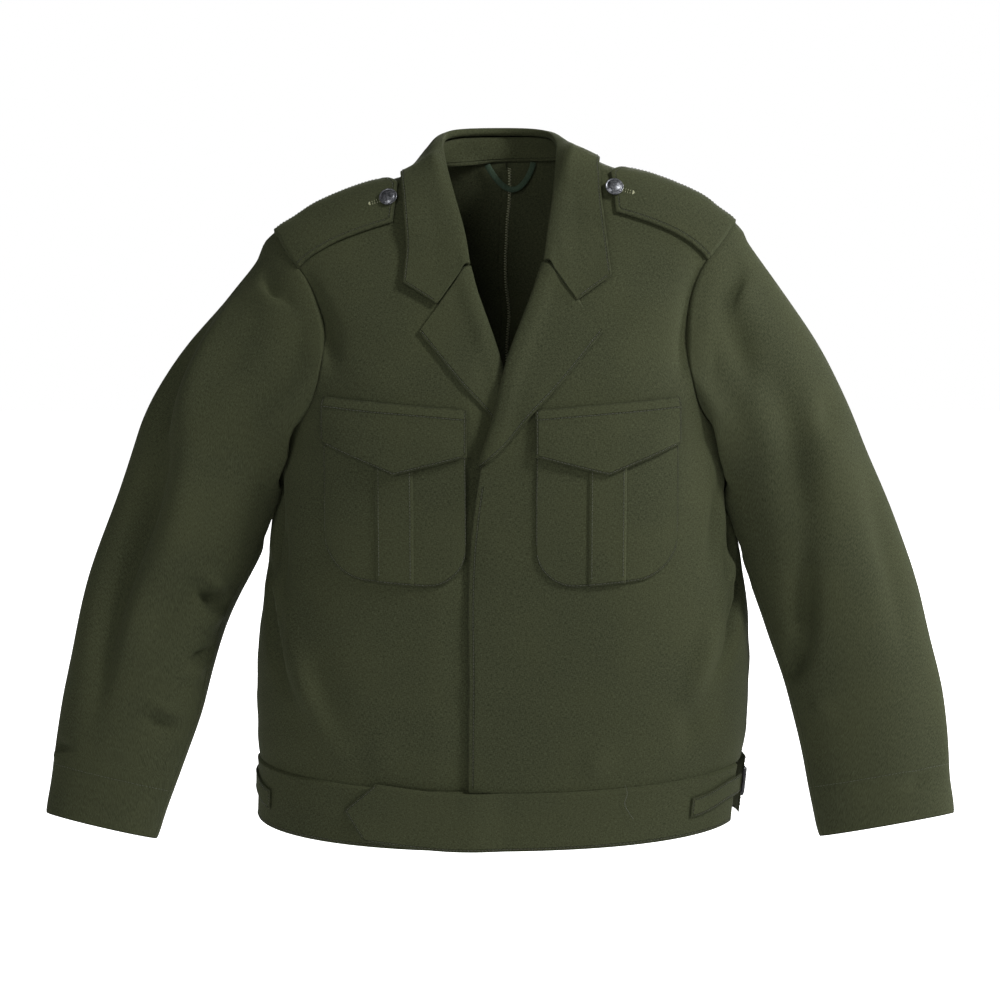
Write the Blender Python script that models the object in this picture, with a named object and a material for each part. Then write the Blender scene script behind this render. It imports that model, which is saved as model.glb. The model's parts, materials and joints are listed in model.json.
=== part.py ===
"""Battledress jacket: a waist-length uniform jacket with an open collar, filled out as if worn, with nobody in it.

Every table and length here is in millimetres and degrees; the meshes are written in metres. +Z is up, the fronts
face -Y and the wearer's left is at +X. The origin lies between the shoulders at the base of the neck.

The cloth is placed on one smooth figure, given by rings from the neck down to the hem. A place on it is an angle
round the ring (0 at the centre front, 90 at the wearer's left side, 180 at the centre back) and a height. A piece
of cloth is a wall between two surfaces that stand at given heights off that figure.
"""

from collections import namedtuple

import bmesh
import bpy
import numpy as np

METRES = 0.001

# Cloth thicknesses and the gaps that keep neighbouring pieces apart
CLOTH = 1.8
DOUBLE_CLOTH = 2.6
BAND_CLOTH = 3.0
SEAM_TRIM = 0.17
LAYER_GAP = 0.7
STEP = 0.5

# Heights of the waist seam and the hem: both dip at the centre front
WAIST_SIDE = -562.0
WAIST_DIP = 13.0
BAND_HEIGHT = 53.0

# One shoulder sits higher than the other, as the jacket hangs
SHOULDER_TILT = 4.5
TILT_REACH = 130.0
TILT_TOP = -60.0
TILT_FOOT = -200.0
COLLAR_TOP = 30.0

# Shoulder seam: from the neck point down to the shoulder tip
NECK_POINT_Z = 4.0
BACK_NECK_Z = 3.0
TIP_Z = -58.0
UNDERARM_Z = -258.0

Level = namedtuple("Level", "z half front back square shift")
LEVELS = (
    Level(40, 50, 26, 62, 0.00, 0),
    Level(20, 56, 27, 66, 0.00, 1),
    Level(6, 74, 28, 72, 0.00, 3),
    Level(0, 85, 29, 74, 0.00, 3),
    Level(-6, 99, 31, 76, 0.02, 3),
    Level(-14, 131, 34, 78, 0.05, 3),
    Level(-25, 161, 38, 82, 0.08, 3),
    Level(-35, 182, 42, 86, 0.10, 3),
    Level(-45, 196, 46, 90, 0.12, 2),
    Level(-55, 211, 51, 93, 0.14, 1),
    Level(-70, 224, 59, 98, 0.17, 0),
    Level(-90, 227, 71, 104, 0.20, -1),
    Level(-120, 223, 88, 111, 0.22, 0),
    Level(-150, 220, 101, 115, 0.24, 2),
    Level(-200, 219, 116, 118, 0.25, 1),
    Level(-260, 217, 121, 115, 0.26, 0),
    Level(-330, 220, 119, 110, 0.28, 0),
    Level(-400, 229, 115, 108, 0.30, 1),
    Level(-470, 235.5, 111, 108, 0.30, -0.5),
    Level(-530, 235, 107, 105, 0.28, -2),
    Level(-575, 230, 105, 99, 0.26, -4),
    Level(-640, 228, 106, 99, 0.26, -8),
)

# The wearer's left front edge: straight up to the break, then the roll line and the neckline to the neck point
EdgePoint = namedtuple("EdgePoint", "share x z")
LEFT_FRONT_EDGE = (
    EdgePoint(0.00, -34, -575),
    EdgePoint(0.15, -33, -484),
    EdgePoint(0.40, -30, -330),
    EdgePoint(0.50, -21, -268),
    EdgePoint(0.60, -7, -222),
    EdgePoint(0.70, 5, -172),
    EdgePoint(0.82, 29, -110),
    EdgePoint(0.88, 40, -80),
    EdgePoint(0.95, 63, -36),
)
RIGHT_FRONT_EDGE = (
    EdgePoint(0.00, 34, -575),
    EdgePoint(0.15, 33, -484),
    EdgePoint(0.40, 30, -330),
    EdgePoint(0.50, 23, -268),
    EdgePoint(0.60, 8, -222),
    EdgePoint(0.70, -5, -172),
    EdgePoint(0.82, -27, -110),
    EdgePoint(0.88, -36, -80),
    EdgePoint(0.95, -59, -36),
)

# The armhole: turn 0 is the shoulder tip, 90 the front, 180 the underarm and 270 the back
ArmholePoint = namedtuple("ArmholePoint", "turn angle z")
ARMHOLE = (
    ArmholePoint(0, 90, -58),
    ArmholePoint(22, 71, -63),
    ArmholePoint(42, 61, -78),
    ArmholePoint(62, 54, -97),
    ArmholePoint(80, 51, -122),
    ArmholePoint(98, 50, -155),
    ArmholePoint(116, 51, -190),
    ArmholePoint(136, 57, -226),
    ArmholePoint(158, 72, -250),
    ArmholePoint(180, 90, -258),
    ArmholePoint(202, 108, -250),
    ArmholePoint(224, 119, -226),
    ArmholePoint(244, 122, -190),
    ArmholePoint(262, 122, -155),
    ArmholePoint(280, 121, -122),
    ArmholePoint(298, 118, -97),
    ArmholePoint(318, 112, -78),
    ArmholePoint(338, 102, -63),
    ArmholePoint(360, 90, -58),
)

# Sleeve rings below the armhole. "wide" is across the front view, "deep" is front to back, "twist" turns the flat
# of the sleeve towards the chest.
SleeveRing = namedtuple("SleeveRing", "share out back z wide deep twist")
RIGHT_SLEEVE = (
    SleeveRing(0.34, 275, -8, -275, 78, 63, 4),
    SleeveRing(0.42, 295, -9, -325, 76, 59, 4),
    SleeveRing(0.56, 330, -14, -410, 73, 52, 4),
    SleeveRing(0.72, 353, -27, -502, 67, 44, 4),
    SleeveRing(0.90, 374, -44, -590, 57, 37, 4),
    SleeveRing(1.00, 381, -51, -619, 54, 34, 4),
)
LEFT_SLEEVE = (
    SleeveRing(0.34, 268, -8, -275, 78, 63, 4),
    SleeveRing(0.42, 288, -9, -325, 77, 59, 4),
    SleeveRing(0.56, 319, -14, -410, 75, 52, 4),
    SleeveRing(0.72, 344, -27, -502, 71, 44, 4),
    SleeveRing(0.90, 357.5, -44, -590, 67, 36, 4),
    SleeveRing(1.00, 362.5, -51, -618, 65, 32, 4),
)
FRONT_SLEEVE_SEAM = 165.0
HIND_SLEEVE_SEAM = 255.0
SLEEVE_CLEARANCE = 4.5

# Soft folds of the body: a line from a high place to a low one, "rise" is negative in a valley, "peak" is the
# share of its length where it is deepest
Fold = namedtuple("Fold", "angle_top z_top angle_low z_low width rise peak")
BODY_FOLDS = (
    Fold(-72, -262, -70, -450, 14, -8, 0.35),
    Fold(-84, -325, -52, -432, 12, 5, 0.60),
    Fold(-58, -400, -34, -566, 14, 6, 0.50),
    Fold(-82, -355, -48, -510, 11, -8, 0.45),
    Fold(72, -262, 72, -450, 13, -8, 0.30),
    Fold(84, -322, 50, -424, 11, 5, 0.55),
    Fold(54, -392, 39, -530, 13, 6, 0.40),
    Fold(83, -350, 50, -480, 11, -9, 0.45),
    Fold(64, -268, 52, -384, 11, -4, 0.50),
    Fold(52, -64, 40, -215, 14, -4, 0.45),
    Fold(-52, -72, -40, -200, 14, -4, 0.45),
    Fold(118, -265, 128, -540, 22, -6, 0.35),
    Fold(-118, -265, -128, -540, 22, -6, 0.35),
    Fold(146, -300, 140, -560, 26, 5, 0.60),
    Fold(-146, -300, -140, -560, 26, 5, 0.60),
)

# Folds along the sleeves, by turn and share of the sleeve's length
SleeveFold = namedtuple("SleeveFold", "turn_top share_top turn_low share_low width rise peak")
RIGHT_SLEEVE_FOLDS = (
    SleeveFold(0, 0.08, 62, 0.40, 11, -9, 0.62),
    SleeveFold(58, 0.27, 67, 0.86, 13, -12, 0.32),
    SleeveFold(12, 0.06, 74, 0.34, 13, 7, 0.55),
    SleeveFold(74, 0.27, 102, 0.60, 14, 6, 0.40),
    SleeveFold(14, 0.10, 34, 0.80, 15, 5, 0.40),
    SleeveFold(44, 0.02, 70, 0.22, 14, -4, 0.40),
    SleeveFold(142, 0.00, 152, 0.42, 26, 13, 0.45),
    SleeveFold(120, 0.42, 96, 0.66, 16, -4, 0.55),
    SleeveFold(230, 0.40, 250, 0.85, 20, -5, 0.50),
    SleeveFold(4, 0.10, 4, 0.86, 34, -9, 0.40),
    SleeveFold(168, 0.42, 168, 0.72, 28, -4.5, 0.45),
)
LEFT_SLEEVE_FOLDS = (
    SleeveFold(62, 0.10, 112, 0.50, 15, -7, 0.60),
    SleeveFold(100, 0.40, 152, 0.68, 13, -9, 0.55),
    SleeveFold(56, 0.02, 92, 0.20, 13, -6, 0.45),
    SleeveFold(88, 0.05, 104, 0.36, 14, 5, 0.45),
    SleeveFold(142, 0.00, 152, 0.42, 26, 12, 0.45),
    SleeveFold(34, 0.30, 60, 0.74, 15, -3, 0.45),
    SleeveFold(20, 0.60, 30, 0.98, 16, 4, 0.50),
    SleeveFold(232, 0.40, 250, 0.85, 20, -5, 0.50),
    SleeveFold(0, 0.10, 0, 0.55, 42, -6, 0.50),
)

# The lapels: outer edge from the break up to the lapel's corner; the gorge runs from the roll line to the notch
LapelPoint = namedtuple("LapelPoint", "share x z")
LEFT_LAPEL_EDGE = (
    LapelPoint(0.00, -19, -268),
    LapelPoint(0.22, 3, -248),
    LapelPoint(0.42, 21, -226),
    LapelPoint(0.70, 52, -193),
    LapelPoint(1.00, 89, -150),
)
RIGHT_LAPEL_EDGE = (
    LapelPoint(0.00, 20, -268),
    LapelPoint(0.22, -2, -240),
    LapelPoint(0.42, -16, -219),
    LapelPoint(0.70, -41, -192),
    LapelPoint(1.00, -77, -148),
)
LAPEL_FOOT_SHARE = 0.50
LAPEL_HEAD_SHARE = 0.865
LAPEL_LIFT = 2.9
ROLL_RISE = 2.4
FLAP_CORNER_RISE = 2.6

# The collar, station by station from the gorge to the centre back: the neck seam, the roll line on top of the
# stand, the middle of the fall and its outer edge
CollarStation = namedtuple(
    "CollarStation",
    "seam_x seam_y seam_z roll_x roll_y roll_z mid_x mid_y mid_z edge_x edge_y edge_z shift left_in",
)
COLLAR = (
    CollarStation(39, -66, -78, 33.5, -75, -85.5, 63.5, -92, -121.5, 95, -80, -101, 2.5, 0.0),
    CollarStation(46, -51, -58, 38, -58, -57, 66, -68, -76, 92, -62, -70, 2.0, 0.0),
    CollarStation(55, -35, -32, 46, -34, -22, 69, -46, -35, 92, -50, -42, 0.0, 1.5),
    CollarStation(64, -15, -6, 52, -8, 7, 72.5, -16, 0.5, 93, -20, -10, -2.0, 4.0),
    CollarStation(67, 12, 3.5, 54, 20, 24, 72.5, 22, 13.5, 91, 22, -4, -3.0, 7.0),
    CollarStation(53, 47, 4, 43, 50, 33, 59.5, 62, 20, 78, 62, -9, -4.5, 7.0),
    CollarStation(0, 70, 5, 0, 66, 35, 0, 81, 22, 0, 86, -12, -3.0, 2.0),
)
NECK_SHIFT = 2.5
LEFT_IN_SHARE = {"seam": 0.0, "roll": 0.5, "mid": 1.0, "edge": 1.0}
FALL_CLOTH = 1.6
ROLL_HALF = 3.2
STAND_SHOWN = 7.5
COLLAR_LIFT = 4.2
COLLAR_FRONT_LIFT = 3.0

# Breast pockets: the same cut on both sides, set a little closer to the edge on the wearer's left
POCKET_WIDTH = 128.0
POCKET_TOP = -224.0
POCKET_FOOT = -377.0
POCKET_CORNER = 38.0
POCKET_SLOPE = 0.075
PLEAT_WIDTH = 34.0
PLEAT_RISE = 1.4
FLAP_TOP = -212.0
FLAP_CORNER = -254.0
FLAP_POINT = -276.0
FLAP_OVERHANG = 1.5
FLAP_RUN = 8.5
LEFT_POCKET_CENTRE = 93.2
RIGHT_POCKET_CENTRE = -99.0

# Shoulder straps, in plan: from the sleeve seam to the pointed end by the collar
STRAP_SEAM_FRONT = 56.0
STRAP_SEAM_BACK = 0.0
STRAP_SEAM_SHARE = 0.994
STRAP_NECK_FRONT = (102.0, -42.0)
STRAP_NECK_BACK = (112.0, 3.0)
STRAP_POINT = (97.5, -22.0)
STRAP_GAP = 1.3
LEFT_BUTTON_PLAN = (100.6, -31.5)
RIGHT_BUTTON_PLAN = (106.0, -30.0)
BUTTON_RADIUS = 8.5
BUTTON_DOME = 3.2

# Waistband: the wearer's left half runs on past the front edge to a pointed tab
BACK_BAND_FLARE = 3.0
HEM_TILT = 1.0
HEM_SIDE_DROP = 3.5
TAB_ENDS = ((-137.0, 0.0), (-157.0, 0.52), (-127.0, 1.0))
TAB_LIFT = 3.8
TAB_RISE = 5.0
RIGHT_BAND_END = 34.0
UNDERLAP_DEPTH = 4.2
BREAK_UNDERLAP = 9.6

# Side straps and their slide buckles
SIDE_STRAP_WIDTH = 19.0
SIDE_STRAP_FRONT_Z = -594.0
SIDE_STRAP_END_Z = -583.5
SIDE_STRAP_CLIMB = 20.0
# The sides of the waist, in degrees: the strap, the buckle, the tab behind it and the ends of the bands. The jacket
# hangs turned a little, so that the wearer's left buckle is in front of the side and the right one behind it.
WaistSide = namedtuple("WaistSide", "name way strap_start strap_end buckle tab_start tab_end band_front band_back")
WAIST_SIDES = (
    WaistSide("left", 1, 51.0, 84.5, 82.5, 85.9, 99.5, 75.5, 88.5),
    WaistSide("right", -1, 68.0, 106.0, 104.0, 107.4, 121.0, 97.0, 110.0),
)
LEFT_SIDE, RIGHT_SIDE = WAIST_SIDES
BUCKLE_HEIGHT = 27.0
BUCKLE_WIDTH = 13.0
BUCKLE_WIRE = 1.3
BUCKLE_LIFT = 6.5

# Hanger loop inside the back neck
LOOP_LEFT = 25.0
LOOP_RIGHT = -19.0
LOOP_DROP = 25.0
LOOP_TAPE = 5.5

# Mesh fineness
SIDE_ROWS = 9
ARMHOLE_ROWS = 12
FRONT_COLUMNS = 13
BACK_COLUMNS = 11
SLEEVE_ROWS = 17
COLLAR_COLUMNS = 36
COLLAR_ROWS = 9

OLIVE = (0.043, 0.047, 0.026, 1.0)
LOOP_GREEN = (0.035, 0.055, 0.035, 1.0)
HORN = (0.10, 0.11, 0.125, 1.0)
BLACK_METAL = (0.02, 0.02, 0.022, 1.0)


def column(rows, name):
    """One named column of a table, as an array."""
    return np.array([getattr(row, name) for row in rows], float)


def spline(at, places, values, monotone=False):
    """A cubic curve through the values at the given places. A monotone one never overshoots its own points."""
    places = np.asarray(places, float)
    values = np.asarray(values, float)
    flat = values.ndim == 1
    if flat:
        values = values[:, None]
    gaps = np.diff(places)[:, None]
    slopes = np.diff(values, axis=0) / gaps
    tangents = np.empty_like(values)
    tangents[0], tangents[-1] = slopes[0], slopes[-1]
    if monotone:
        product = slopes[:-1] * slopes[1:]
        total = slopes[:-1] + slopes[1:]
        safe = np.where(np.abs(total) < 1e-12, 1.0, total)
        tangents[1:-1] = np.where(product > 0, 2 * product / safe, 0.0)
    else:
        tangents[1:-1] = (slopes[:-1] * gaps[1:] + slopes[1:] * gaps[:-1]) / (gaps[1:] + gaps[:-1])
    at = np.clip(np.asarray(at, float), places[0], places[-1])
    i = np.clip(np.searchsorted(places, at, side="right") - 1, 0, len(places) - 2)
    gap = gaps[i]
    t = ((at - places[i]) / gap[..., 0])[..., None]
    found = (
        (2 * t**3 - 3 * t**2 + 1) * values[i]
        + (t**3 - 2 * t**2 + t) * gap * tangents[i]
        + (3 * t**2 - 2 * t**3) * values[i + 1]
        + (t**3 - t**2) * gap * tangents[i + 1]
    )
    return found[..., 0] if flat else found


def ease(share):
    """Smooth step from 0 to 1."""
    share = np.clip(share, 0.0, 1.0)
    return share * share * (3 - 2 * share)


def blend(first, second, share):
    """A straight mix of two values or points."""
    return first + (second - first) * share


def unit(vectors):
    """Vectors scaled to length one."""
    return vectors / np.maximum(np.linalg.norm(vectors, axis=-1, keepdims=True), 1e-9)


LEVEL_Z = column(LEVELS, "z")[::-1]
LEVEL_COLUMNS = np.stack(
    [column(LEVELS, name)[::-1] for name in ("half", "front", "back", "square", "shift")], axis=1
)


def level(z):
    """Half width, front depth, back depth, squareness and sideways shift of the figure at a height."""
    found = spline(z, LEVEL_Z, LEVEL_COLUMNS, monotone=True)
    return tuple(np.moveaxis(found, -1, 0))


def figure(angle, z):
    """The bare figure: a ring point at an angle in degrees and a height. Each ring is an ellipse, squared a little."""
    turn = np.radians(angle)
    half, front, back, square, shift = level(z)
    depth = np.where(np.cos(turn) > 0, front, back)
    x = shift + half * np.sin(turn)
    y = -depth * np.cos(turn) * (1 + square * np.sin(turn) ** 2)
    return np.stack([x, y, z + 0 * x], axis=-1)


def ring_ratio(points):
    """How far out of its ring each point lies: 1 on the figure, less inside it."""
    x, y, z = np.moveaxis(points, -1, 0)
    half, front, back, square, shift = level(z)
    across = (x - shift) / half
    along = y / (np.where(y < 0, front, back) * (1 + square * np.minimum(across**2, 1.2)))
    return np.hypot(across, along)


def ratio_slope(points):
    """The gradient of ring_ratio, by differences."""
    parts = []
    for axis in range(3):
        move = np.zeros(3)
        move[axis] = STEP
        parts.append((ring_ratio(points + move) - ring_ratio(points - move)) / (2 * STEP))
    return np.stack(parts, axis=-1)


def outward(points):
    """The unit direction that leads away from the figure."""
    slope = ratio_slope(points)
    return slope / np.maximum(np.linalg.norm(slope, axis=-1, keepdims=True), 1e-9)


def onto_figure(points):
    """Moves points straight onto the figure, by a few Newton steps."""
    for _ in range(6):
        slope = ratio_slope(points)
        size = np.maximum((slope**2).sum(axis=-1), 1e-12)
        points = points - ((ring_ratio(points) - 1) / size)[..., None] * slope
    return points


def angle_of(points):
    """The ring angle of points, in degrees."""
    x, y, z = np.moveaxis(points, -1, 0)
    half, front, back, _, shift = level(z)
    depth = np.where(y < 0, front, back)
    return np.degrees(np.arctan2((x - shift) / half, -y / depth))


def swell(t, peak):
    """Rises smoothly from 0 to 1 at the peak and falls back to 0."""
    rising = ease(t / peak)
    falling = ease((1 - t) / (1 - peak))
    return np.where((t <= 0) | (t >= 1), 0.0, np.where(t < peak, rising, falling))


def body_folds(points):
    """How far the cloth stands off the figure at its folds."""
    angle = angle_of(points)
    z = points[..., 2]
    total = np.zeros_like(z)
    for fold in BODY_FOLDS:
        t = (fold.z_top - z) / (fold.z_top - fold.z_low)
        middle = blend(fold.angle_top, fold.angle_low, np.clip(t, 0, 1))
        across = np.radians(angle - middle) * 200.0 / fold.width
        total += fold.rise * swell(t, fold.peak) * np.exp(-(across**2))
    return total


def cloth(points, lift):
    """Points of the figure moved out to the folded cloth, and then by a lift of their own."""
    return points + outward(points) * (body_folds(points) + lift)[..., None]


def clear_of_body(points, lift):
    """Pushes points outwards where they lie nearer to the folded cloth than the lift."""
    for _ in range(4):
        slope = ratio_slope(points)
        size = np.maximum(np.linalg.norm(slope, axis=-1), 1e-9)
        away = (ring_ratio(points) - 1) / size
        short = lift + body_folds(points) - away
        soft = 0.5 * (short + np.sqrt(short**2 + 1.0))
        push = np.where(short > 6, short, soft)
        points = points + slope / size[..., None] * np.maximum(push, 0.0)[..., None]
    return points


def place(x, z):
    """The point of the figure's front at a sideways place and a height."""
    half, _, _, _, shift = level(z)
    angle = np.degrees(np.arcsin(np.clip((x - shift) / half, -1, 1)))
    return figure(angle, z)


def plan(x, y):
    """The point of the shoulders above a place in plan, found by halving."""
    low = np.full(np.shape(x), -150.0)
    high = np.full(np.shape(x), 30.0)
    for _ in range(40):
        middle = (low + high) / 2
        inside = ring_ratio(np.stack([x, y, middle], axis=-1)) < 1
        low = np.where(inside, middle, low)
        high = np.where(inside, high, middle)
    return np.stack([x, y, (low + high) / 2], axis=-1)


def waist_seam(angle):
    """Height of the seam between the body and the waistband."""
    return WAIST_SIDE - WAIST_DIP * np.cos(np.radians(angle)) ** 2


def settle(points):
    """Tilts the shoulders, as the jacket hangs: the wearer's left is raised and the right is lowered."""
    x, z = points[..., 0], points[..., 2]
    reach = np.sin(np.clip(x / TILT_REACH, -1, 1) * np.pi / 2)
    fade = ease((z - TILT_FOOT) / (TILT_TOP - TILT_FOOT)) * (1 - ease(z / COLLAR_TOP))
    moved = points.copy()
    moved[..., 2] += SHOULDER_TILT * reach * fade
    return moved


def surface_normals(points, wrap=False):
    """Unit normals of a grid of points, from the directions of its rows and columns."""
    if wrap:
        round_way = np.roll(points, -1, axis=0) - np.roll(points, 1, axis=0)
    else:
        round_way = np.gradient(points, axis=0)
    along = np.gradient(points, axis=1)
    normal = np.cross(round_way, along)
    return normal / np.maximum(np.linalg.norm(normal, axis=-1, keepdims=True), 1e-9)


def trimmed(points, sides="udlr"):
    """Pulls the edges of a grid in by the seam trim, so that its neighbours stay clear."""
    points = points.copy()

    def pull(edge, inner):
        way = inner - edge
        return edge + way / np.maximum(np.linalg.norm(way, axis=-1, keepdims=True), 1e-9) * SEAM_TRIM

    if "l" in sides:
        points[0] = pull(points[0], points[1])
    if "r" in sides:
        points[-1] = pull(points[-1], points[-2])
    if "d" in sides:
        points[:, 0] = pull(points[:, 0], points[:, 1])
    if "u" in sides:
        points[:, -1] = pull(points[:, -1], points[:, -2])
    return points


def coons(bottom, top, left, right, across, up):
    """A grid filled in between four edge curves: bottom and top run across, left and right run up."""
    u = across[:, None, None]
    v = up[None, :, None]
    between_rows = (1 - v) * bottom[:, None] + v * top[:, None]
    between_columns = (1 - u) * left[None] + u * right[None]
    corners = (1 - u) * ((1 - v) * bottom[0] + v * top[0]) + u * ((1 - v) * bottom[-1] + v * top[-1])
    return between_rows + between_columns - corners


def material(name, colour, roughness, metallic=0.0):
    """A plain finish."""
    made = bpy.data.materials.get(name) or bpy.data.materials.new(name)
    made.use_nodes = True
    shader = made.node_tree.nodes["Principled BSDF"]
    shader.inputs["Base Color"].default_value = colour
    shader.inputs["Roughness"].default_value = roughness
    shader.inputs["Metallic"].default_value = metallic
    return made


def add_object(name, mesh, finish):
    """Puts a mesh in the scene as one named, smooth piece."""
    mesh.materials.append(finish)
    mesh.shade_smooth()
    mesh.set_sharp_from_angle(angle=np.radians(40))
    piece = bpy.data.objects.new(name, mesh)
    bpy.context.scene.collection.objects.link(piece)
    return piece


def wall(name, outer, inner, finish, wrap=False):
    """A closed wall between two grids of the same shape. A wrapped one is a tube, open at both ends."""
    outer, inner = settle(outer) * METRES, settle(inner) * METRES
    nu, nv = outer.shape[:2]
    count = nu * nv
    index = np.arange(count).reshape(nu, nv)
    a, b = (index, np.roll(index, -1, axis=0)) if wrap else (index[:-1], index[1:])
    quads = np.stack([a[:, :-1], b[:, :-1], b[:, 1:], a[:, 1:]], axis=-1).reshape(-1, 4)
    faces = [tuple(q) for q in quads.tolist()]
    faces += [tuple(count + i for i in reversed(q)) for q in quads.tolist()]

    def rim(edge):
        pairs = zip(edge, np.roll(edge, -1)) if wrap else zip(edge[:-1], edge[1:])
        return [(int(q), int(p), int(count + p), int(count + q)) for p, q in pairs]

    if wrap:
        faces += rim(index[:, 0]) + rim(index[::-1, -1])
    else:
        loop = np.concatenate([index[:-1, 0], index[-1, :-1], index[:0:-1, -1], index[0, ::-1]])
        faces += rim(loop)
    mesh = bpy.data.meshes.new(name)
    mesh.from_pydata(np.concatenate([outer.reshape(-1, 3), inner.reshape(-1, 3)]).tolist(), [], faces)
    work = bmesh.new()
    work.from_mesh(mesh)
    bmesh.ops.remove_doubles(work, verts=work.verts, dist=1e-6)
    bmesh.ops.recalc_face_normals(work, faces=work.faces)
    if work.calc_volume(signed=True) < 0:
        bmesh.ops.reverse_faces(work, faces=work.faces)
    work.to_mesh(mesh)
    work.free()
    return add_object(name, mesh, finish)


def cloth_wall(name, points, low, thickness, finish):
    """A wall of cloth on the figure: from a lift of "low" outwards by its thickness."""
    low = low + np.zeros(points.shape[:2])
    return wall(name, cloth(points, low + thickness), cloth(points, low), finish)


def rows_up():
    """Shares up a body panel: the lower half is the side seam, the upper half is the armhole."""
    side = np.linspace(0, 0.5, SIDE_ROWS + 1)
    armhole = 0.5 + 0.5 * np.linspace(0, 1, ARMHOLE_ROWS + 1)[1:]
    return np.concatenate([side, armhole])


def armhole_point(turn):
    """A point of the figure on the armhole, by the turn from the shoulder tip, on the wearer's left."""
    turns = column(ARMHOLE, "turn")
    found = spline(turn, turns, np.stack([column(ARMHOLE, "angle"), column(ARMHOLE, "z")], axis=1))
    return found[..., 0], found[..., 1]


def side_edge(up, way, back):
    """Side seam, then armhole up to the shoulder tip. "way" is 1 on the wearer's left and -1 on the right."""
    turn = blend(180.0, 360.0 if back else 0.0, np.clip(2 * up - 1, 0, 1))
    arm_angle, arm_z = armhole_point(turn)
    side_z = blend(waist_seam(90.0), UNDERARM_Z, np.clip(2 * up, 0, 1))
    angle = np.where(up > 0.5, arm_angle, 90.0)
    z = np.where(up > 0.5, arm_z, side_z)
    return figure(way * angle, z)


def front_edge(rows, up, way):
    """The front edge, the roll line and the neckline, up to the neck point."""
    x = np.append(column(rows, "x"), level(NECK_POINT_Z)[0] * way + level(NECK_POINT_Z)[4])
    z = np.append(column(rows, "z"), NECK_POINT_Z)
    share = np.append(column(rows, "share"), 1.0)
    found = spline(up, share, np.stack([x, z], axis=1))
    return place(found[..., 0], found[..., 1])


def left_edge_x(z):
    """Sideways place of the wearer's left front edge at a height."""
    return spline(z, column(LEFT_FRONT_EDGE, "z"), column(LEFT_FRONT_EDGE, "x"), monotone=True)


def underlap(points):
    """How deep the wearer's right side lies where the left one covers it."""
    x, z = points[..., 0], points[..., 2]
    depth = blend(UNDERLAP_DEPTH, BREAK_UNDERLAP, ease((z + 330) / 50))
    return -depth * ease((x - left_edge_x(z) + 34) / 32)


def front_grid(way):
    """The grid of one front panel."""
    rows = LEFT_FRONT_EDGE if way > 0 else RIGHT_FRONT_EDGE
    up = rows_up()
    across = np.linspace(0, 1, FRONT_COLUMNS + 1)
    left = front_edge(rows, up, way)
    right = side_edge(up, way, back=False)
    start = float(angle_of(left[:1])[0])
    angles = blend(start, way * 90.0, across)
    bottom = figure(angles, waist_seam(angles))
    left[0] = bottom[0]
    top = figure(way * 90.0, blend(NECK_POINT_Z, TIP_Z, across))
    grid = onto_figure(coons(bottom, top, left, right, across, up))
    grid[0], grid[-1] = left, right
    grid[:, 0], grid[:, -1] = bottom, top
    return trimmed(grid)


def back_grid(way):
    """The grid of one back panel, from the centre back seam to the side."""
    up = rows_up()
    across = np.linspace(0, 1, BACK_COLUMNS + 1)
    left = figure(way * 180.0, blend(waist_seam(180.0), BACK_NECK_Z, up))
    right = side_edge(up, way, back=True)
    angles = blend(way * 180.0, way * 90.0, across)
    bottom = figure(angles, waist_seam(angles))
    neck = 0.36
    neckline = figure(blend(way * 180.0, way * 90.0, np.clip(across / neck, 0, 1)), BACK_NECK_Z)
    share = np.clip((across - neck) / (1 - neck), 0, 1)
    shoulder = figure(way * 90.0, blend(NECK_POINT_Z, TIP_Z, share))
    top = np.where((across < neck)[:, None], neckline, shoulder)
    grid = onto_figure(coons(bottom, top, left, right, across, up))
    grid[0], grid[-1] = left, right
    grid[:, 0], grid[:, -1] = bottom, top
    return trimmed(grid)


def build_fronts(finish):
    """Two fronts; the wearer's right one dips under the left one."""
    for side, way in (("left", 1), ("right", -1)):
        points = front_grid(way)
        low = -CLOTH if way > 0 else underlap(points) - CLOTH
        cloth_wall(f"front_{side}", points, low, CLOTH, finish)


def build_backs(finish):
    """Two back panels, joined by the centre back seam."""
    for side, way in (("left", 1), ("right", -1)):
        cloth_wall(f"back_{side}", back_grid(way), -CLOTH, CLOTH, finish)


def sleeve_rings(rows, way):
    """Centre, outward, frontward and axis directions, and half sizes of each ring of a sleeve."""
    share = column(rows, "share")
    centre = np.stack([way * column(rows, "out"), column(rows, "back"), column(rows, "z")], axis=1)
    axis = np.gradient(centre, share, axis=0)
    axis /= np.linalg.norm(axis, axis=1, keepdims=True)
    front = np.array([0.0, -1.0, 0.0]) - axis * (axis @ np.array([0.0, -1.0, 0.0]))[:, None]
    front /= np.linalg.norm(front, axis=1, keepdims=True)
    out = way * np.cross(front, axis)
    twist = np.radians(column(rows, "twist"))[:, None]
    turned_out = out * np.cos(twist) - front * np.sin(twist)
    turned_front = front * np.cos(twist) + out * np.sin(twist)
    return share, centre, axis, turned_out, turned_front


def sleeve_folds(rows, turn, share):
    """How far the sleeve's cloth stands off its tube at its folds."""
    total = np.zeros_like(turn)
    for fold in rows:
        t = (share - fold.share_top) / (fold.share_low - fold.share_top)
        middle = blend(fold.turn_top, fold.turn_low, np.clip(t, 0, 1))
        away = (turn - middle + 180) % 360 - 180
        across = np.radians(away) * 62.0 / fold.width
        total += fold.rise * swell(t, fold.peak) * np.exp(-(across**2))
    return total


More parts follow.
